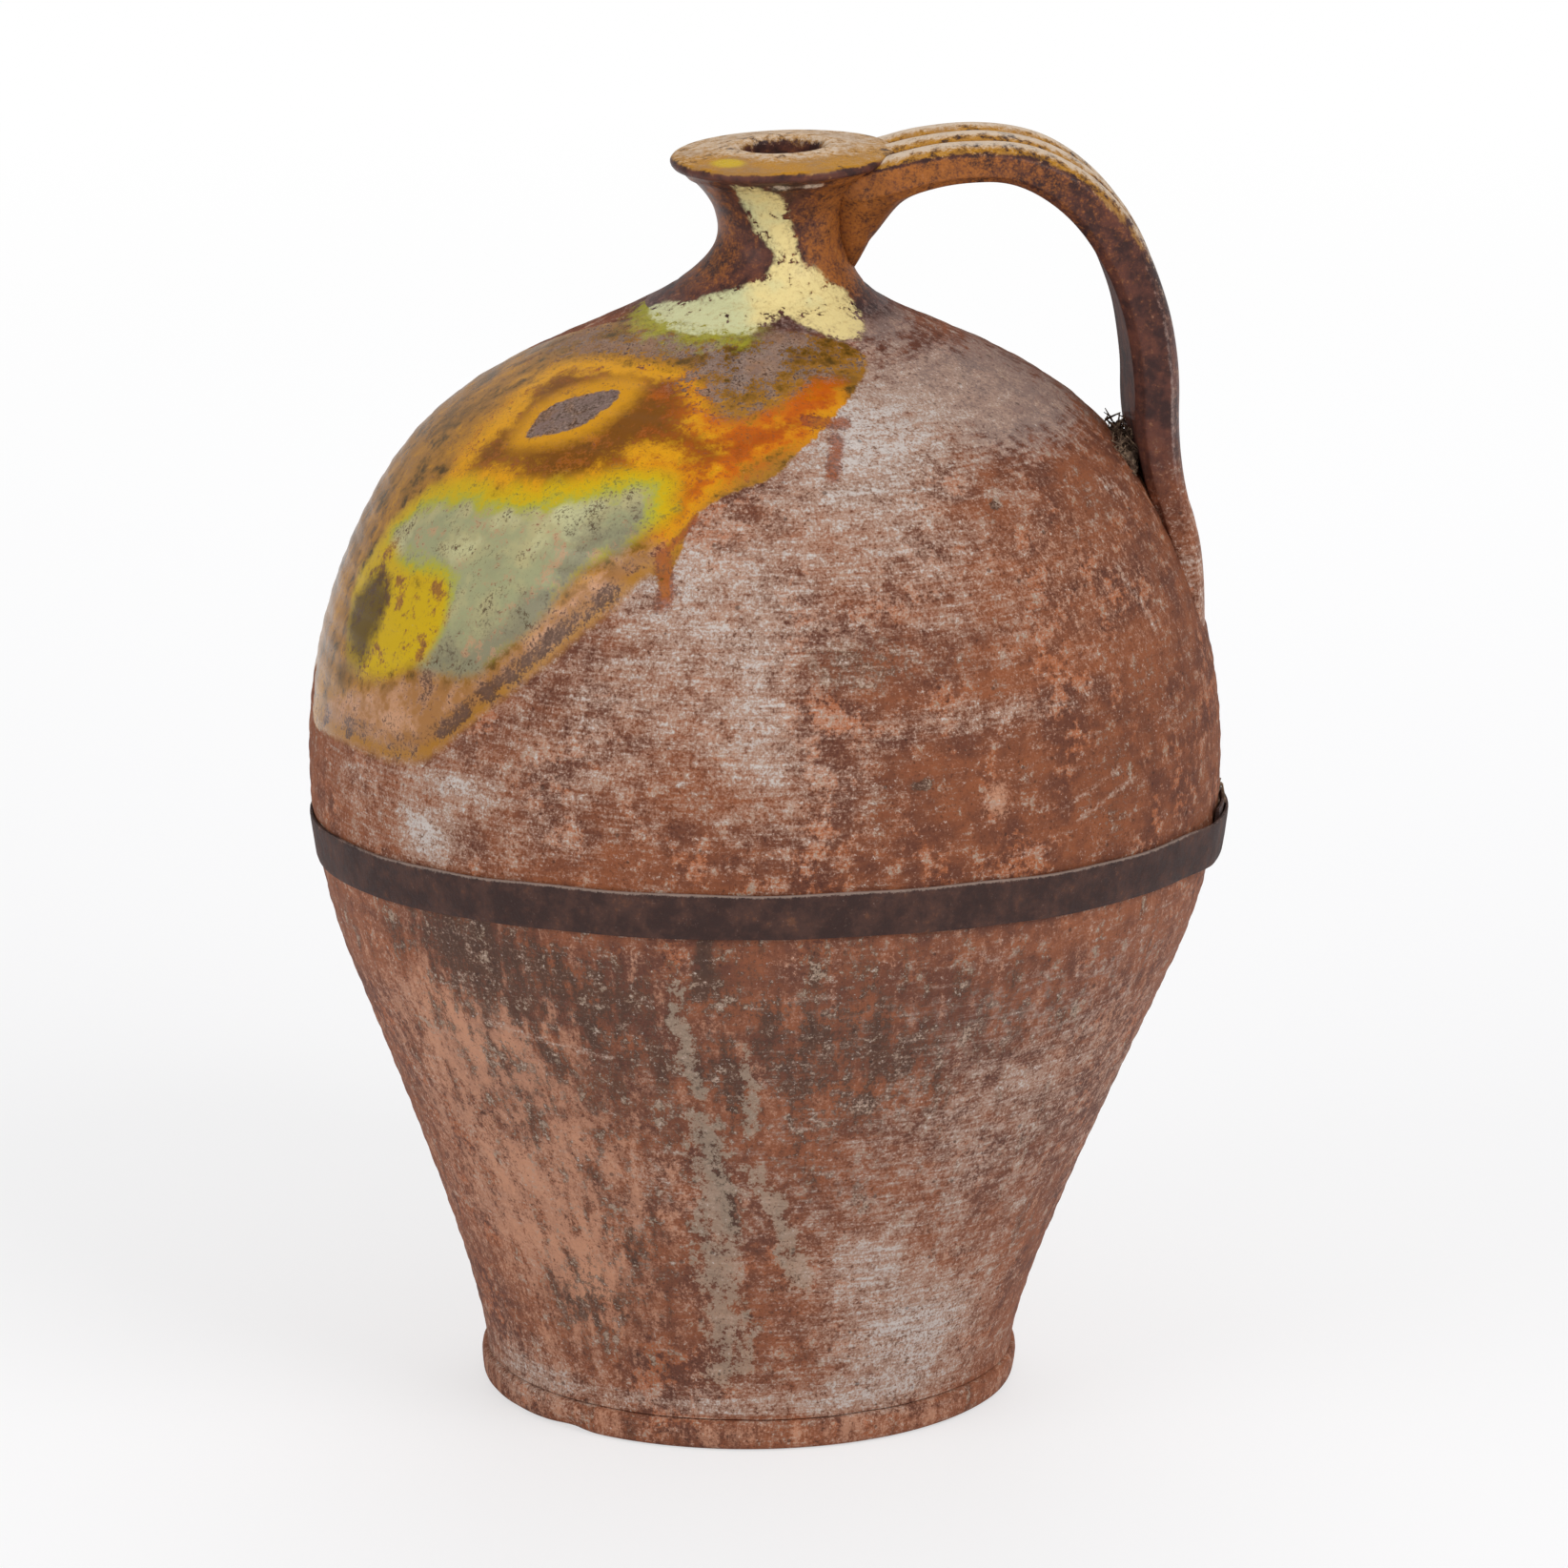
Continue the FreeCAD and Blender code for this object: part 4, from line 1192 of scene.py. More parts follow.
@dataclass
class ClayBody:
    """The thrown body, cut into its lower and upper sections at the seam under the hoop."""

    shape: JarShape
    steps: int = 448
    outer_stations: int = 24
    inner_stations: int = 12
    station_cuts: int = 11
    scratch_share: float = 0.7
    lump_height: float = 0.22
    lump_size: float = 16.0
    slip_skirt: float = 6.0
    root_grey: float = 0.5

    def shell(self) -> bmesh.types.BMesh:
        """Whole body as one closed wall, before it leans."""
        shape = self.shape
        wall = shape.wall_line
        ease = 0.15 * shape.foot_height
        edge = shape.foot_radius
        high = shape.foot_height
        foot = [(0, 0), (0.4 * edge, 0), (0.75 * edge, 0), (edge - 1.6 * ease, 0), (edge - ease, 0.12 * ease)]
        foot += [(edge - 0.3 * ease, 0.5 * ease), (edge, 1.2 * ease), (edge + 0.6, 0.45 * high)]
        for out, down in ((0.9, 2.0), (0.7, 1.0), (-0.1, 0.45), (-1.4, 0.3), (-2.4, 0.2)):
            foot += [(edge + out, high - down * ease)]
        along = np.linspace(0.0, shape.wall_run[0], self.outer_stations + 1)[::-1]
        rows = [np.interp(along, shape.wall_run[::-1], wall[::-1, k]) for k in (0, 1)]
        outer = list(zip(*rows))
        level = np.linspace(shape.root_height, shape.foot_height, self.inner_stations)
        radial, upward = shape.outward(level)
        inner = list(zip(shape.radius(level) - shape.wall * radial, level - shape.wall * upward))
        inner += [(0.5 * edge, high), (0, high)]

        bm, edges = Piece.line(foot + outer + inner)
        first = len(foot)
        bmesh.ops.subdivide_edges(bm, edges=edges[first:first + self.outer_stations], cuts=self.station_cuts)
        for vert in bm.verts:
            z = vert.co.z / MM
            if z > high and vert.co.x / MM > shape.radius(z) - 0.5 * shape.wall:
                vert.co.x = shape.radius(z) * MM
        Piece.spin(bm, self.steps)
        return bm

    def section(self, whole: bmesh.types.BMesh, upper: bool) -> bmesh.types.BMesh:
        """One side of the seam, closed along the cut.

        Args:
            whole: The whole body, left as it is.
            upper: Whether to keep the upper side.

        Returns:
            Closed bmesh of that section.
        """
        bm = whole.copy()
        shape = self.shape
        way = Vector((0.0, shape.hoop_lift / shape.belly_radius, 1.0)).normalized()
        bmesh.ops.bisect_plane(
            bm, geom=bm.verts[:] + bm.edges[:] + bm.faces[:], plane_co=(0, 0, shape.hoop_height * MM),
            plane_no=way, clear_inner=upper, clear_outer=not upper,
        )
        cut = [edge for edge in bm.edges if edge.is_boundary]
        bmesh.ops.bridge_loops(bm, edges=cut)
        bmesh.ops.recalc_face_normals(bm, faces=bm.faces)
        return bm

    def lean_and_swell(self, mesh: bpy.types.Mesh) -> tuple[np.ndarray, np.ndarray, np.ndarray]:
        """Give a section its lean, swell and rings.

        Args:
            mesh: Section to move.

        Returns:
            Angle from the front, height and outer mask of each vertex, before the move.
        """
        shape = self.shape
        places = Piece.places(mesh)
        x, y, z = places.T
        radius = np.hypot(x, y)
        turn = np.arctan2(x, -y)
        outer = radius > shape.radius(z) - 0.5 * shape.wall
        radial, upward = shape.outward(z)
        rise = np.where(outer, shape.relief(turn, z), 0.0)
        rise += np.where(outer & (z > 1.0), self.lump_height * wander(places, self.lump_size, 3.7), 0.0)
        rise -= np.where(outer, self.dabbed(ClayMarks.foot_chips, np.degrees(turn), z), 0.0)
        places[:, 0] += rise * radial * np.sin(turn) + shape.lean(z)
        places[:, 1] -= rise * radial * np.cos(turn)
        places[:, 2] += rise * upward * smooth(z, 0.0, 4.0)
        Piece.move(mesh, places)
        return turn, z, outer

    def weathering(self, turn: np.ndarray, z: np.ndarray, outer: np.ndarray) -> dict[Field, np.ndarray]:
        """Paint fields of the bare clay.

        Args:
            turn: Angle from the front in radians.
            z: Height.
            outer: Whether each vertex lies on the outer wall.

        Returns:
            Values by field.
        """
        degrees = np.degrees(turn)
        fields = {}
        for field in (Field.BLOOM, Field.STAIN, Field.SALMON, Field.MAUVE):
            dabs = getattr(ClayMarks, field.value)
            fields[field] = np.clip(self.dabbed(dabs, degrees, z), 0.0, MOST_PAINT)
        fields[Field.BLOOM] += self.scratch_share * self.stroked(ClayMarks.scratches, degrees, z)
        fields[Field.STAIN] += self.stroked(ClayMarks.runs, degrees, z)
        fields[Field.DRIP] = self.stroked(ClayMarks.drips, degrees, z)
        return {field: np.where(outer, values, 0.0) for field, values in fields.items()}

    @staticmethod
    def dabbed(dabs: Sequence[Dab], degrees: np.ndarray, z: np.ndarray) -> np.ndarray:
        """Soft dabs added up."""
        total = np.zeros_like(z)
        for dab in dabs:
            away = ((degrees - dab.angle + 180) % 360 - 180) / dab.half_angle
            total += dab.strength * np.exp(-(away**2) - ((z - dab.height) / dab.half_height) ** 2)
        return total

    def stroked(self, strokes: Sequence[Stroke], degrees: np.ndarray, z: np.ndarray) -> np.ndarray:
        """Soft strokes, the strongest at each place."""
        total = np.zeros_like(z)
        reach = np.radians(1.0) * self.shape.radius(z)
        sway = 1.6 * np.sin(z / 11.0) + 1.1 * np.sin(z / 4.3)
        for width, line in strokes:
            nearest = np.full_like(z, np.inf)
            for (a0, z0), (a1, z1) in zip(line, line[1:]):
                dx, dy = (a1 - a0) * reach, z1 - z0
                px, py = (degrees - a0) * reach + sway, z - z0
                t = np.clip((px * dx + py * dy) / (dx * dx + dy * dy), 0.0, 1.0)
                nearest = np.minimum(nearest, np.hypot(px - t * dx, py - t * dy))
            total = np.maximum(total, 1.0 - smooth(nearest, 0.0, 1.3 * width))
        return total

    def glazing(self, turn: np.ndarray, z: np.ndarray, outer: np.ndarray) -> dict[Field, np.ndarray]:
        """Paint fields of the glazed shoulder.

        Args:
            turn: Angle from the front in radians.
            z: Height.
            outer: Whether each vertex lies on the outer wall.

        Returns:
            Values by field.
        """
        run = self.shape.run(z)
        rho = self.shape.root_radius + run
        places = np.stack([rho * np.sin(turn), -rho * np.cos(turn)], -1)
        fields = {}
        for field in GLAZE_ZONES:
            outline = flowing(getattr(GlazeMap, field.value))
            fields[field] = np.full(len(z), FAR_OUTSIDE)
            fields[field][outer] = inside_distance(places[outer], outline)
        fields[Field.BEAD] = np.where(outer, self.stroked(ClayMarks.beads, np.degrees(turn), z), 0.0)
        fields[Field.CREAM] = np.where(outer, GlazeMap.cream_edge(turn, -run), FAR_OUTSIDE)
        fields[Field.MAROON] = np.where(outer, self.slip_skirt - run, FAR_OUTSIDE)
        for field in (Field.GOLD, Field.WEAR, Field.ORANGE):
            fields[field] = np.zeros(len(z))
        fields[Field.GREY] = np.where(outer, self.root_grey, 0.0)
        return fields

    def build(self, finishes: Finishes) -> None:
        """Make both sections and dress them."""
        whole = self.shell()
        lower = Piece.mesh(self.section(whole, upper=False), "jar_lower_body")
        upper = Piece.mesh(self.section(whole, upper=True), "jar_upper_body")
        whole.free()
        Piece.paint(lower, self.weathering(*self.lean_and_swell(lower)))
        where = self.lean_and_swell(upper)
        Piece.paint(upper, self.weathering(*where) | self.glazing(*where))
        Piece.show(lower, finishes.earthenware, "lower_body", "earthenware")
        Piece.show(upper, finishes.glazed_shoulder, "upper_body", "earthenware")


@dataclass
class NeckAndRim:
    """Concave neck with its flat flanged rim and mouth."""

    shape: JarShape
    steps: int = 256
    rim_edge: float = 5.2
    rim_tilt: float = 2.0
    rim_raise: float = 2.2
    broad_swell: float = 0.35
    fine_swell: float = 0.18
    groove_radius: float = 42.0
    groove_depth: float = 0.8

    def outside(self) -> np.ndarray:
        """Radius and height rows from the root up to the rim's edge."""
        shape = self.shape
        climb = shape.waist_height - shape.root_height
        slope = np.radians(shape.root_rise)
        root = np.array([shape.root_radius, shape.root_height])
        waist = np.array([shape.waist_radius, shape.waist_height])
        root_pull = root + 0.38 * climb * np.array([-np.cos(slope), np.sin(slope)])
        low = bezier([root, root_pull, waist - (0.0, 0.44 * climb), waist], 26)
        edge_low = shape.rim_height - 1.6 * self.rim_edge
        tip = shape.rim_radius - 0.5 * self.rim_edge
        lift = edge_low - shape.waist_height
        flare = (0.487 * (shape.waist_radius + tip), edge_low - 0.25 * lift)
        high = bezier([waist, waist + (0.0, 0.45 * lift), flare, (tip, edge_low)], 26)
        skirt = root + 2.5 * np.array([np.cos(slope), -np.sin(slope)]) - (0.0, 0.3)
        return np.vstack([skirt, low[:-1], high])

    def outline(self) -> list[tuple[float, float]]:
        """Closed outline: outside, rim, mouth and throat."""
        shape = self.shape
        outside = self.outside()
        tip, edge_low = outside[-1]
        turn = np.linspace(-0.5 * np.pi, 0.5 * np.pi, 10)[1:]
        half = 0.5 * self.rim_edge
        lip = np.stack([tip + half * np.cos(turn), edge_low + half + half * np.sin(turn)], -1)
        top = np.stack([np.linspace(tip, shape.mouth_radius + 5.0, 14)[1:],
                        np.linspace(edge_low + self.rim_edge, shape.rim_height, 14)[1:]], -1)
        mouth = shape.mouth_radius
        ease = np.array([(mouth + 2.6, -0.15), (mouth + 1.0, -0.9), (mouth + 0.2, -2.2), (mouth, -4.0)])
        ease[:, 1] += shape.rim_height
        bore_low = shape.waist_height - 0.6 * shape.wall
        bore = np.stack([np.full(8, mouth), np.linspace(shape.rim_height - 8.0, bore_low, 8)], -1)
        slope = np.radians(shape.root_rise)
        wide = shape.root_radius - shape.wall * np.sin(slope)
        low = shape.root_height - shape.wall * np.cos(slope)
        span = bore_low - low
        pull = (wide - 0.4 * span * np.cos(slope), low + 0.4 * span * np.sin(slope))
        throat = bezier([(mouth, bore_low), (mouth, bore_low - 0.4 * span), pull, (wide, low)], 10)[1:]
        return [tuple(row) for row in np.vstack([outside, lip, top, ease, bore, throat])]

    def build(self, finishes: Finishes) -> None:
        """Make the neck, tip its rim and dress it."""
        shape = self.shape
        bm, _ = Piece.line(self.outline(), closed=True)
        Piece.spin(bm, self.steps)
        mesh = Piece.mesh(bm, "jar_neck_and_rim")
        places = Piece.places(mesh)
        x, y, z = places.T
        turn = np.arctan2(x, -y)
        radius = np.hypot(x, y)
        raised = smooth(z, shape.waist_height, shape.rim_height - 10.0)
        swell = self.broad_swell * wander(places, 18.0, 9.1) + self.fine_swell * wander(places, 6.0, 2.3)
        swell *= smooth(z, shape.root_height + 2.0, shape.root_height + 12.0)
        outside = self.outside()
        on_outside = radius > np.interp(z, outside[:, 1], outside[:, 0]) - 1.0
        fields = self.paint_fields(turn, radius, z, on_outside)
        places[:, 0] += swell * np.sin(turn) + shape.lean(z)
        places[:, 1] -= swell * np.cos(turn)
        places[:, 2] += raised * (self.rim_raise + np.tan(np.radians(self.rim_tilt)) * x)
        under_rim = on_outside & (z < shape.rim_height - 7.0)
        groove = self.groove_depth * np.exp(-((radius - self.groove_radius) ** 2))
        places[:, 2] -= np.where(under_rim, groove, 0.0)
        Piece.move(mesh, places)
        Piece.paint(mesh, fields)
        Piece.show(mesh, finishes.glazed_neck, "neck_and_rim", "glazed_earthenware")

    def paint_fields(
        self, turn: np.ndarray, radius: np.ndarray, z: np.ndarray, on_outside: np.ndarray
    ) -> dict[Field, np.ndarray]:
        """Paint fields of the neck and rim.

        Args:
            turn: Angle from the front in radians.
            radius: Distance from the neck's axis.
            z: Height.
            on_outside: Whether each vertex lies on the outside, rim's top included.

        Returns:
            Values by field.
        """
        shape = self.shape
        outside = self.outside()
        steps = np.hypot(*np.diff(outside, axis=0).T)
        climbs = np.concatenate([[0.0], np.cumsum(steps)])
        climb = np.interp(z, outside[:, 1], climbs)
        under_rim = z < shape.rim_height - 1.5 * self.rim_edge
        cream = np.where(on_outside & under_rim, GlazeMap.cream_edge(turn, climb), FAR_OUTSIDE)
        degrees = np.degrees(turn)
        top = smooth(z, shape.rim_height - 5.5, shape.rim_height - 3.0)
        top *= smooth(radius, shape.mouth_radius - 1.0, shape.mouth_radius + 1.0)
        front = np.exp(-((degrees / 75.0) ** 2))
        spot = np.exp(-(((degrees + 44) / 14) ** 2) - ((radius - 37) / 6) ** 2)
        ring = smooth(radius, shape.mouth_radius + 6, shape.rim_radius - 6)
        gold = top * (0.62 + 0.16 * front * ring + 0.7 * spot)
        wear = top * (0.68 - 0.62 * front * ring - 0.9 * spot)
        for at, wide in ((-6, 6), (13, 9)):
            wear += 0.9 * np.exp(-(((degrees - at) / wide) ** 2) - ((z - shape.rim_height + 10.5) / 1.3) ** 2)
        orange = 0.15 + 0.6 * smooth(degrees, -5.0, 35.0) + 0.35 * smooth(-degrees, 30.0, 60.0)
        orange = np.where(under_rim, orange, 0.0) * (1.0 - 0.55 * smooth(np.abs(degrees), 80.0, 130.0))
        orange *= smooth(climb, 6.0, 26.0)
        return {
            Field.CREAM: cream,
            Field.MAROON: np.full(len(z), -FAR_OUTSIDE),
            Field.GOLD: gold,
            Field.WEAR: wear,
            Field.ORANGE: orange,
            Field.GREY: 0.5 * (1.0 - smooth(climb, 0.0, 22.0)),
        }


@dataclass
class StrapHandle:
    """Pulled strap with three ribs, from the neck and rim down to the shoulder."""

    shape: JarShape
    width: float = 66.0
    thickness: float = 17.0
    around: int = 128
    along: int = 220
    rib_count: float = 1.5
    tail_share: float = 0.595
    slip_end: float = 2.3
    slip_reach: float = 60.0
    inner_share: float = 0.34
    corner_share: float = 0.08
    outer_share: float = 0.5
    web_depth: float = 12.5
    web_tail: float = 8.5
    web_foot: float = 12.0
    plug_depth: float = 9.0

    @cached_property
    def path(self) -> np.ndarray:
        """Rows of x, z and their way along the strap's inner face, at even steps of t from 0 to 3."""
        shape = self.shape
        rim = shape.rim_radius
        arch_x = shape.neck_offset + 1.75 * rim
        arch_z = shape.rim_height - 0.2 * rim
        reach = shape.belly_lean + 0.795 * shape.belly_radius
        grip_z = 0.8018 * shape.rim_height
        root = np.array([shape.neck_offset + 0.62 * rim, arch_z - 0.265 * rim])
        rise = arch_x - root[0]
        root_pull = root + (0.3 * rise, 0.122 * rim)
        start = bezier([root, root_pull, (arch_x - 0.4 * rise, arch_z), (arch_x, arch_z)], 101)
        a = np.linspace(0.5 * np.pi, 0.0, 101)
        bend = np.stack([arch_x + (reach - arch_x) * np.cos(a), grip_z + (arch_z - grip_z) * np.sin(a)], -1)
        tail_z = self.tail_share * shape.rim_height
        radial, upward = (float(v) for v in shape.outward(tail_z))
        sink = 0.36 * self.thickness
        drop = grip_z - tail_z
        wall_x = float(shape.lean(tail_z) + shape.radius(tail_z))
        end = np.array([wall_x - sink * radial, tail_z - sink * upward])
        back = end + 0.35 * drop * np.array([-upward, radial])
        tail = bezier([(reach, grip_z), (reach, grip_z - 0.35 * drop), back, end], 101)
        line = np.vstack([start[:-1], bend[:-1], tail])
        return np.hstack([line, np.gradient(line, axis=0)])

    @staticmethod
    def blend(values: Sequence[float], t: np.ndarray) -> np.ndarray:
        """Even blend between values set at equal steps of t from 0 to 3."""
        place = np.clip(t / 3.0, 0.0, 1.0) * (len(values) - 1)
        low = np.minimum(place.astype(int), len(values) - 2)
        share = smooth(place - low, 0.0, 1.0)
        table = np.array(values, float)
        return table[low] * (1 - share) + table[low + 1] * share

    def section(self, v: np.ndarray, t: np.ndarray) -> tuple[np.ndarray, np.ndarray, np.ndarray]:
        """Ribbed outline across the strap.

        Args:
            v: Share of the way round the section, from the near inner corner.
            t: Place along the strap, 0 at the root and 3 at the tail.

        Returns:
            Share across (-1 near, 1 far), offset from the inner face, and outer-face mask.
        """
        crest = self.thickness * self.blend([1.12, 1.04, 1.0, 1.24, 1.22, 1.0, 0.3], t)
        crown = self.thickness * self.blend([0.06, 0.06, 0.08, 0.3], t)
        rib = self.thickness * self.blend([0.16, 0.25, 0.26, 0.05], t)
        shares = (self.inner_share, self.corner_share, self.outer_share, self.corner_share)
        starts = np.cumsum((0.0, *shares[:-1]))
        inner, far, outer, near = (np.clip((v - a) / b, 0.0, 1.0) for a, b in zip(starts, shares))
        across = -1.0 + 2.0 * inner - 2.0 * outer
        ribbed = np.abs(np.cos(self.rib_count * np.pi * across)) ** 0.8
        top = crest - crown * across**2 - rib * (1.0 - ribbed)
        rise = far - near
        ease = smooth(np.abs(across), 0.88, 1.0) * (1.0 - smooth(rise, 0.0, 0.3))
        offset = top * rise + 0.12 * self.thickness * ease * (1.0 - rise)
        return across * (1.0 - 0.05 * ease), offset, rise > 0.999

    def build(self, finishes: Finishes) -> None:
        """Bend a grid round the ribbed section and along the strap, and dress it."""
        bm, flat = Piece.grid(self.around, self.along)
        v = 0.5 * (flat[:, 0] + 1.0)
        t = 1.5 * (flat[:, 1] + 1.0)
        across, offset, on_outer = self.section(v, t)
        grid = np.linspace(0.0, 3.0, len(self.path))
        x, z, dx, dz = (np.interp(t, grid, column) for column in self.path.T)
        size = np.hypot(dx, dz)
        out_x, out_z = -dz / size, dx / size
        half = 0.5 * self.width * self.blend([1.0, 1.0, 1.03, 1.16], t)
        half = half * (0.5 + 0.4 * np.sqrt(smooth(t, 0.0, 0.12)) + 0.1 * smooth(t, 0.1, 0.35))
        places = np.stack([x + offset * out_x, across * half, z + offset * out_z], -1)
        keel = np.where(v < self.inner_share, np.clip(1.0 - (across / 0.95) ** 2, 0.0, 1.0) ** 1.4, 0.0)
        web = self.web_depth * (1.0 - smooth(t, 0.08, 0.5)) ** 1.3
        web += self.web_tail * (1.0 - smooth(t, 0.2, 0.95))
        web = keel * (web + self.web_foot * np.exp(-(((t - 0.06) / 0.045) ** 2)))
        plug = self.plug_depth * (1.0 - smooth(t, 0.0, 0.13))
        places -= np.stack([plug, 0.0 * web, web], -1)
        places += 0.35 * wander(places, 22.0, 5.5)[:, None] * np.stack([out_x, 0 * x, out_z], -1)
        Piece.bend(bm, places, self.paint_fields(t, across, on_outer, v < self.inner_share))
        mesh = Piece.mesh(bm, "jar_strap_handle")
        Piece.show(mesh, finishes.glazed_neck, "strap_handle", "glazed_earthenware")

    def paint_fields(
        self, t: np.ndarray, across: np.ndarray, on_outer: np.ndarray, on_inner: np.ndarray
    ) -> dict[Field, np.ndarray]:
        """Paint fields of the strap.

        Args:
            t: Place along the strap.
            across: Share across, -1 near.
            on_outer: Whether each vertex lies on the ribbed face.
            on_inner: Whether each vertex lies on the inner face.

        Returns:
            Values by field.
        """
        crest = np.abs(np.cos(self.rib_count * np.pi * across)) ** 0.8
        glazed = 1.0 - smooth(t, 1.2, 2.0)
        near = smooth(-across, 0.88, 0.99)
        rib = (self.rib_count * (across + 1.0)) % 1.0
        pale = smooth(rib, 0.1, 0.42) * (1.0 - smooth(rib, 0.8, 0.95))
        groove = 1.0 - smooth(rib, 0.0, 0.14)
        gold = np.where(on_outer, glazed * (0.56 - 0.4 * groove), 0.0)
        wear = np.where(on_outer, glazed * (0.22 + 0.72 * pale), 0.0)
        wear += np.where(on_outer, 0.3 * (1 - glazed) * crest, 0.0)
        grey = np.where(on_outer, (1 - glazed) * (0.1 + 0.45 * crest + 0.5 * near), 0.1)
        orange = np.where(on_outer, 0.2, 0.8 * (1.0 - smooth(t, 0.6, 1.9)))
        return {
            Field.CREAM: np.full(len(t), FAR_OUTSIDE),
            Field.MAROON: self.slip_reach * (self.slip_end - t),
            Field.BLOOM: 0.5 * smooth(t, 2.0, 2.8),
            Field.GOLD: gold,
            Field.WEAR: wear,
            Field.ORANGE: orange,
            Field.GREY: grey,
            Field.DULL: np.where(on_inner, 1.0, 0.0),
        }


@dataclass
class IronHoop:
    """Flat strap drawn round the belly, its ends lapped and riveted at the right."""

    shape: JarShape
    width: float = 20.0
    thickness: float = 1.6
    lap_start: float = -16.0
    lap_angle: float = 34.0
    standoff: float = 1.2
    clearance: float = 0.15
    lap_gap: float = 0.25
    rise_start: float = 346.0
    rise_end: float = 358.0
    along: int = 900
    around: int = 28

    def strip(self, degrees: np.ndarray) -> tuple[np.ndarray, np.ndarray, np.ndarray]:
        """Line of the strap round the belly.

        Args:
            degrees: Angles from the handle's side.

        Returns:
            Middle of the inner face, the outward way and the way across.
        """
        shape = self.shape
        a = np.radians(degrees)
        free_end = 1.0 - smooth(degrees, self.lap_start, self.lap_start + self.lap_angle)
        z = shape.hoop_height - shape.hoop_lift * np.sin(a) + 0.18 * self.width * free_end
        rise = (z - shape.belly_height) / shape.belly_curve
        level = np.sqrt(1.0 - rise * rise)
        out = np.stack([level * np.cos(a), level * np.sin(a), rise], -1)
        across = np.stack([-rise * np.cos(a), -rise * np.sin(a), level], -1)
        radius = shape.radius(z) + shape.relief(a + 0.5 * np.pi, z)
        middle = np.stack([shape.lean(z) + radius * np.cos(a), radius * np.sin(a), z], -1)
        lap_end = self.lap_start + self.lap_angle
        off_body = 1.0 - smooth(degrees, lap_end, lap_end + 25.0)
        over = smooth(degrees, self.lap_start + self.rise_start, self.lap_start + self.rise_end)
        off = self.clearance + self.standoff * np.maximum(off_body, over)
        off += over * (self.thickness + self.lap_gap)
        return middle + out * off[:, None], out, across

    def build(self, finish: bpy.types.Material) -> None:
        """Wind a grid round the strap's section and the belly, and dress it."""
        bm, flat = Piece.grid(self.along, self.around)
        degrees = self.lap_start + (360.0 + self.lap_angle) * 0.5 * (flat[:, 0] + 1.0)
        turn = np.pi * flat[:, 1]
        middle, out, across = self.strip(degrees)
        square = np.maximum(np.abs(np.cos(turn)), np.abs(np.sin(turn)))
        wide = np.clip(1.04 * np.cos(turn) / square, -1.0, 1.0)
        thick = np.clip(np.sin(turn) / square, -1.0, 1.0)
        wave = 0.35 * np.sin(degrees / 7.3) + 0.25 * np.sin(degrees / 2.9 + 1.0)
        half = 0.5 * self.width + np.where(wide > 0, wave, 0.5 * wave[::-1])
        places = middle + across * (wide * half)[:, None]
        places += out * (0.5 * self.thickness * (1.0 + thick * (1.0 - 0.25 * np.abs(wide) ** 8)))[:, None]
        pitting = np.where(thick > 0.5, 0.12 * wander(places, 5.0, 1.9), 0.0)
        places += out * pitting[:, None]
        facing = smooth(-np.sin(np.radians(degrees)), 0.25, 0.65)
        dust = smooth(wide, 0.92, 1.0) * (0.35 + 0.75 * facing)
        Piece.bend(bm, places, {Field.WEAR: dust})
        Piece.show(Piece.mesh(bm, "jar_iron_hoop"), finish, "iron_hoop", "wrought_iron")


@dataclass
class HoopRivets:
    """Two domed rivets through the hoop's lap."""

    hoop: IronHoop
    shank: float = 3.0
    head: float = 6.5
    shares: tuple[float, float] = (0.56, 0.82)
    steps: int = 36
    wear: float = 0.25

    def build(self, finish: bpy.types.Material) -> None:
        """Spin one rivet, set a copy of it at each place and dress them."""
        hoop = self.hoop
        grip = 2 * hoop.thickness + hoop.lap_gap
        dome = 0.45 * self.head
        turn = np.linspace(0.0, 0.5 * np.pi, 8)
        outline = [(0.0, -0.7), (0.9 * self.head, -0.7), (0.9 * self.head, -0.05), (self.shank, 0.0)]
        outline += [(self.shank, grip), (self.head, grip)]
        outline += [(self.head * np.cos(a), grip + 0.3 + dome * np.sin(a)) for a in turn[:-1]]
        outline += [(0.0, grip + 0.3 + dome)]
        bm = bmesh.new()
        for share in self.shares:
            degrees = np.array([hoop.lap_start + hoop.lap_angle * share])
            middle, out, across = (rows[0] for rows in hoop.strip(degrees))
            one, _ = Piece.line(outline)
            Piece.spin(one, self.steps)
            place = Vector(middle - across * 0.06 * hoop.width) * MM
            way = Vector(out).to_track_quat("Z", "Y").to_matrix()
            bmesh.ops.rotate(one, verts=one.verts, cent=(0, 0, 0), matrix=way)
            bmesh.ops.translate(one, verts=one.verts, vec=place)
            part = bpy.data.meshes.new("rivet")
            one.to_mesh(part)
            one.free()
            bm.from_mesh(part)
            bpy.data.meshes.remove(part)
        mesh = Piece.mesh(bm, "jar_hoop_rivets")
        Piece.paint(mesh, {Field.WEAR: np.full(len(mesh.vertices), self.wear)})
        Piece.show(mesh, finish, "hoop_rivets", "wrought_iron")


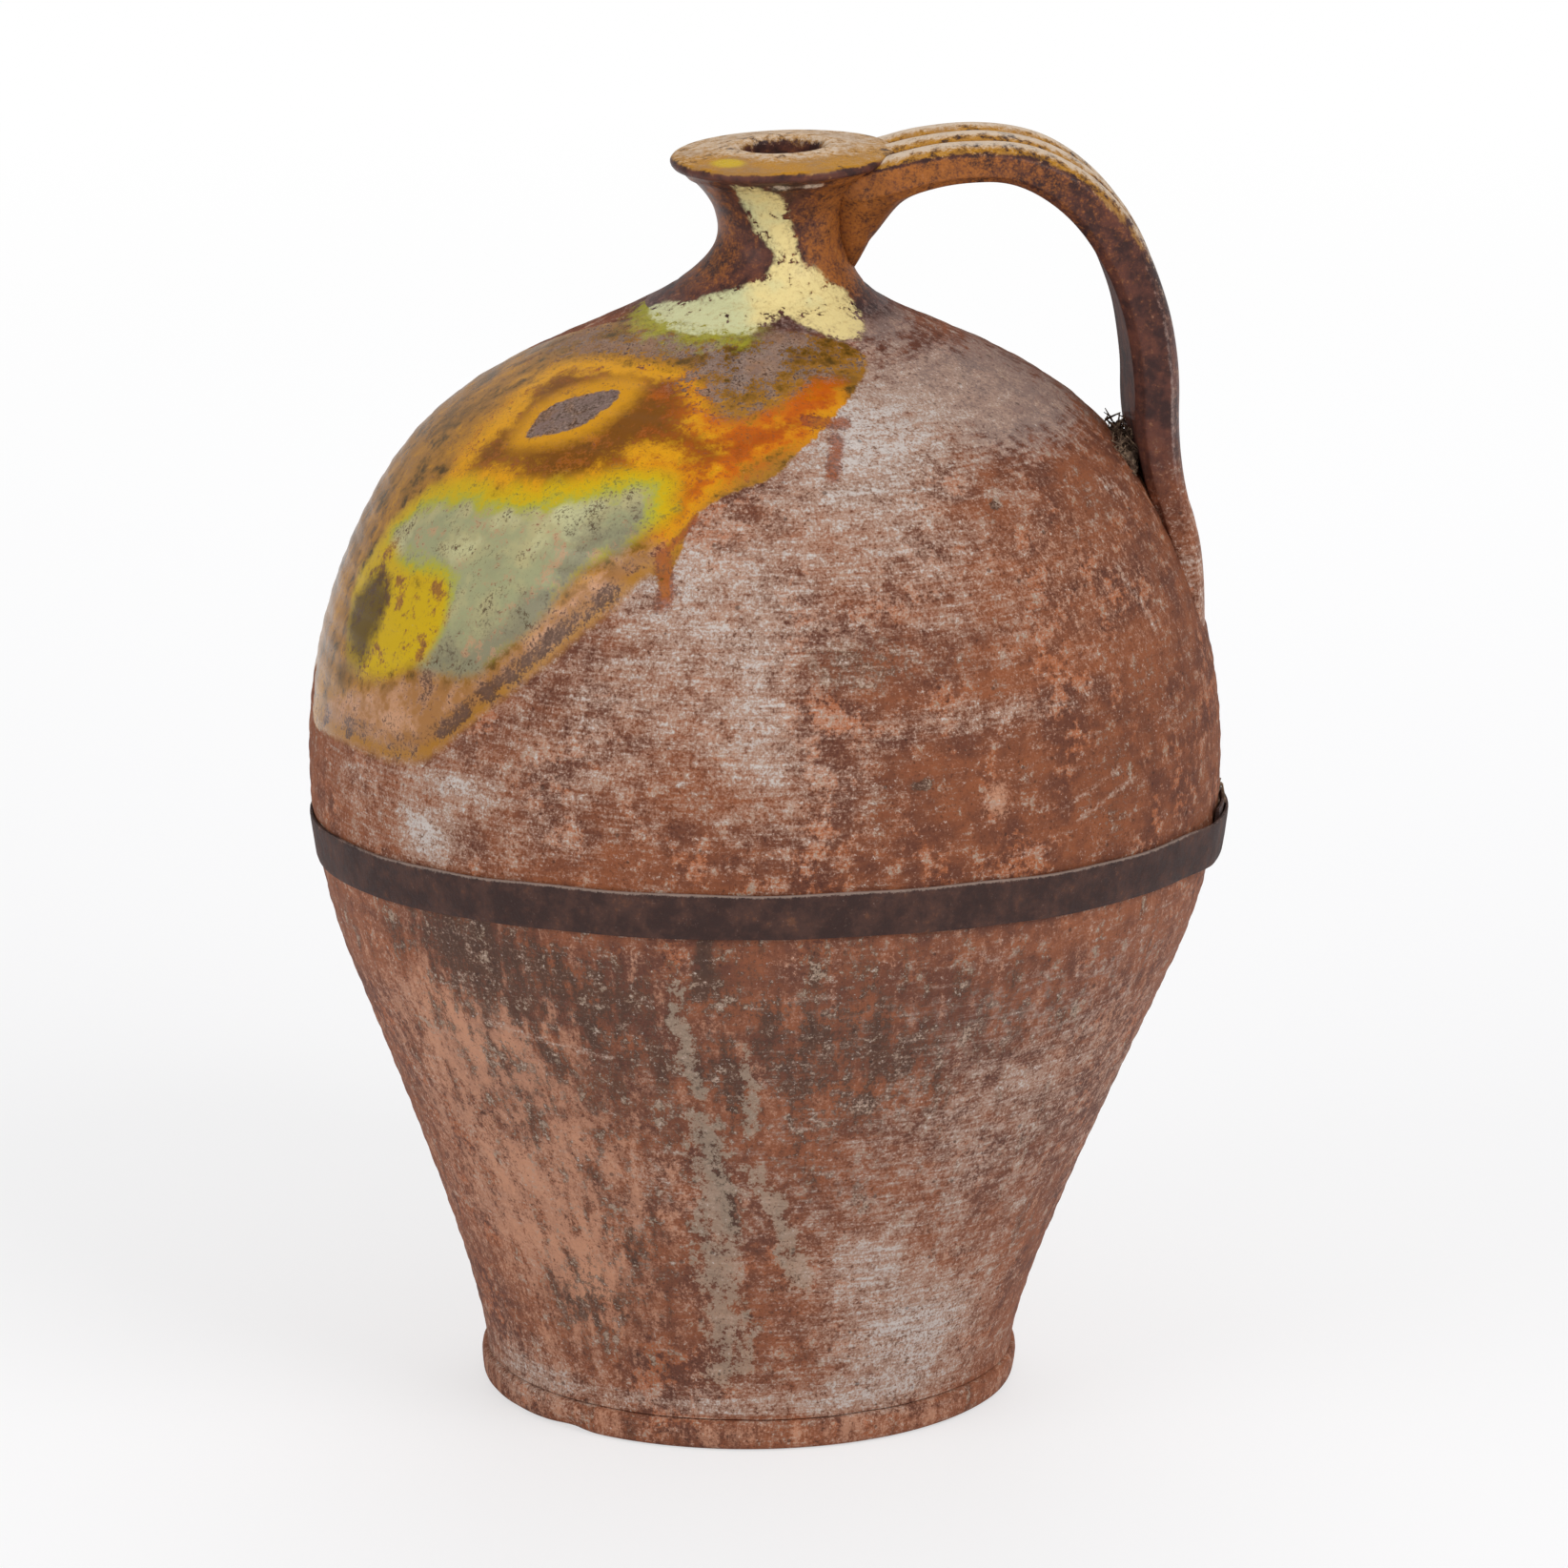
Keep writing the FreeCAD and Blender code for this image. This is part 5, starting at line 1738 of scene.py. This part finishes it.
@dataclass
class CaughtDebris:
    """Dried moss and twigs caught in the handle's crotch and behind the hoop's lap."""

    shape: JarShape
    seed: int = 7
    clumps: int = 6
    crotch_twigs: int = 150
    lap_twigs: int = 9

    def twig(self, bm: bmesh.types.BMesh, place: Vector, turn: Euler, length: float, thick: float) -> None:
        """Add one thin tapered twig at a place, turned, with its size in millimetres."""
        made = bmesh.ops.create_cone(
            bm, cap_ends=True, segments=6, radius1=thick * MM, radius2=0.4 * thick * MM, depth=length * MM
        )
        bmesh.ops.rotate(bm, verts=made["verts"], cent=(0, 0, 0), matrix=turn.to_matrix())
        bmesh.ops.translate(bm, verts=made["verts"], vec=place * MM)

    def clump(self, bm: bmesh.types.BMesh, place: Vector, size: Sequence[float]) -> None:
        """Add one rough clump of moss."""
        made = bmesh.ops.create_icosphere(bm, subdivisions=4, radius=1.0)
        for vert in made["verts"]:
            rough = 1.0 + 0.35 * noise.noise(vert.co * 2.3 + place) + 0.3 * noise.noise(vert.co * 6.1 + place)
            vert.co = Vector(c * s for c, s in zip(vert.co, size)) * rough * MM + place * MM

    def build(self, finish: bpy.types.Material) -> None:
        """Fill the crotch and the gap behind the lap, and dress the debris."""
        shape = self.shape
        random = np.random.default_rng(self.seed)
        crotch_x = shape.belly_lean + 0.795 * shape.belly_radius
        crotch_z = 0.757 * shape.rim_height
        bm = bmesh.new()
        for along in np.linspace(-24.0, 24.0, self.clumps):
            self.clump(bm, Vector((crotch_x - 2.5, along, crotch_z - 2.0)), (4.5, 6.0, 6.5))
        for _ in range(self.crotch_twigs):
            x = crotch_x - random.uniform(-1.0, 9.0)
            place = Vector((x, random.uniform(-32.0, 28.0), crotch_z + random.uniform(-4.0, 9.0)))
            turn = Euler(random.uniform(-1.3, 1.3, 3))
            self.twig(bm, place, turn, random.uniform(5.0, 12.0), random.uniform(0.35, 0.8))
        lap_x = shape.belly_lean + float(shape.radius(shape.hoop_height)) + 1.0
        for _ in range(self.lap_twigs):
            x = lap_x + random.uniform(-1.0, 1.5)
            place = Vector((x, random.uniform(-26.0, -8.0), shape.hoop_height + random.uniform(11.0, 17.0)))
            turn = Euler(random.uniform(-0.6, 0.6, 3))
            self.twig(bm, place, turn, random.uniform(5.0, 11.0), random.uniform(0.5, 1.1))
        bmesh.ops.recalc_face_normals(bm, faces=bm.faces)
        Piece.show(Piece.mesh(bm, "jar_caught_debris"), finish)


@dataclass
class Studio:
    """Pale floor, soft lamps and the camera at the photograph's angle."""

    distance: float = 3971.0
    height: float = 1338.7
    pitch: float = 15.06
    azimuth: float = 4.5
    focal_pixels: float = 9760.0
    image_pixels: float = 1645.0
    jar_pixel: float = 785.0
    sensor: float = 36.0
    aim_height: float = 0.28
    floor_half: float = 20.0
    floor_drop: float = 0.2

    def camera(self) -> None:
        """Camera on the photograph's line of sight."""
        data = bpy.data.cameras.new("photo_camera")
        data.sensor_width = self.sensor
        data.lens = self.focal_pixels / self.image_pixels * self.sensor
        data.clip_end = 100.0
        camera = bpy.data.objects.new("photo_camera", data)
        bpy.context.scene.collection.objects.link(camera)
        turn = math.radians(self.azimuth)
        depth = math.hypot(self.distance, self.height)
        side = (0.5 * self.image_pixels - self.jar_pixel) * depth / self.focal_pixels
        x = side * math.cos(turn) - self.distance * math.sin(turn)
        y = -side * math.sin(turn) - self.distance * math.cos(turn)
        camera.location = Vector((x, y, self.height)) * MM
        camera.rotation_euler = Euler((math.radians(90.0 - self.pitch), 0.0, -turn))
        bpy.context.scene.camera = camera

    def lamp(
        self, name: str, place: Sequence[float], size: float, power: float, mirrored: bool = True
    ) -> None:
        """Square softbox aimed at the jar's middle.

        Args:
            name: Its name.
            place: Where it stands, in metres.
            size: Length of its side, in metres.
            power: Its power, in watts.
            mirrored: Whether glossy surfaces show it.
        """
        data = bpy.data.lights.new(name, "AREA")
        data.size = size
        data.energy = power
        lamp = bpy.data.objects.new(name, data)
        lamp.visible_glossy = mirrored
        lamp.location = place
        way = Vector((0.0, 0.0, self.aim_height)) - Vector(place)
        lamp.rotation_euler = way.to_track_quat("-Z", "Y").to_euler()
        bpy.context.scene.collection.objects.link(lamp)

    def seen(self, graph: Graph) -> bpy.types.NodeSocket:
        """Mask of rays that show the background itself: camera and see-through rays."""
        path = graph.add("LightPath", {})
        return graph.math("MAXIMUM", path.outputs["Is Camera Ray"], path.outputs["Is Transmission Ray"])

    def world(self, ambient: float, mirror: float) -> None:
        """White surroundings that light the jar at one level and mirror in its glaze at another."""
        world = bpy.data.worlds.new("white_room")
        world.use_nodes = True
        bpy.context.scene.world = world
        graph = Graph(world.node_tree)
        back = world.node_tree.nodes["Background"]
        back.inputs["Color"].default_value = (1.0, 1.0, 1.0, 1.0)
        mirrored = graph.add("LightPath", {}).outputs["Is Glossy Ray"]
        parts = ((self.seen(graph), 1.0 - ambient), (mirrored, mirror - ambient), (ambient, 1.0))
        graph.feed(back.inputs["Strength"], graph.total(*parts))

    def floor(self) -> None:
        """Wide pale floor that keeps the jar's shadow."""
        bm = bmesh.new()
        bmesh.ops.create_grid(bm, x_segments=2, y_segments=2, size=self.floor_half)
        bmesh.ops.translate(bm, verts=bm.verts, vec=(0.0, 0.0, -self.floor_drop * MM))
        mesh = Piece.mesh(bm, "studio_floor")
        floor = bpy.data.objects.new("studio_floor", mesh)
        bpy.context.scene.collection.objects.link(floor)
        material = bpy.data.materials.new("pale_floor")
        material.use_nodes = True
        graph = Graph(material.node_tree)
        shader = material.node_tree.nodes["Principled BSDF"]
        output = material.node_tree.nodes["Material Output"]
        graph.feed(shader.inputs["Base Color"], Tone.FLOOR)
        shader.inputs["Roughness"].default_value = 0.5
        shader.inputs["Specular IOR Level"].default_value = 0.15
        glow = graph.add("Emission", {"Strength": 1.0})
        place = graph.add("TexCoord", {}).outputs["Object"]
        away = graph.add("VectorMath", {0: place}, operation="LENGTH").outputs["Value"]
        share = graph.total((graph.step(away, 0.6, 3.0), 0.42), (0.58, 1.0))
        seen = graph.times(self.seen(graph), share)
        mix = graph.add("MixShader", {0: seen, 1: shader.outputs[0], 2: glow.outputs[0]})
        graph.feed(output.inputs["Surface"], mix.outputs[0])
        mesh.materials.append(material)

    def build(self) -> None:
        """Set the whole stage."""
        bpy.context.scene.view_settings.view_transform = "Standard"
        self.camera()
        self.world(ambient=0.5, mirror=0.35)
        self.lamp("key_softbox", (1.5, -1.9, 2.3), 1.6, 42.0)
        self.lamp("fill_softbox", (-2.0, -1.4, 1.5), 1.6, 20.0)
        self.lamp("back_softbox", (0.3, 2.2, 1.9), 1.8, 26.0, mirrored=False)
        self.floor()


def main() -> None:
    """Build the stage and every piece of the jar."""
    logging.basicConfig(level=logging.INFO)
    shape = JarShape.from_frame()
    finishes = Finishes()
    Studio().build()
    ClayBody(shape).build(finishes)
    NeckAndRim(shape).build(finishes)
    StrapHandle(shape).build(finishes)
    hoop = IronHoop(shape)
    hoop.build(finishes.rusty_iron)
    HoopRivets(hoop).build(finishes.rusty_iron)
    CaughtDebris(shape).build(finishes.dry_moss)


if __name__ == "__main__":
    main()
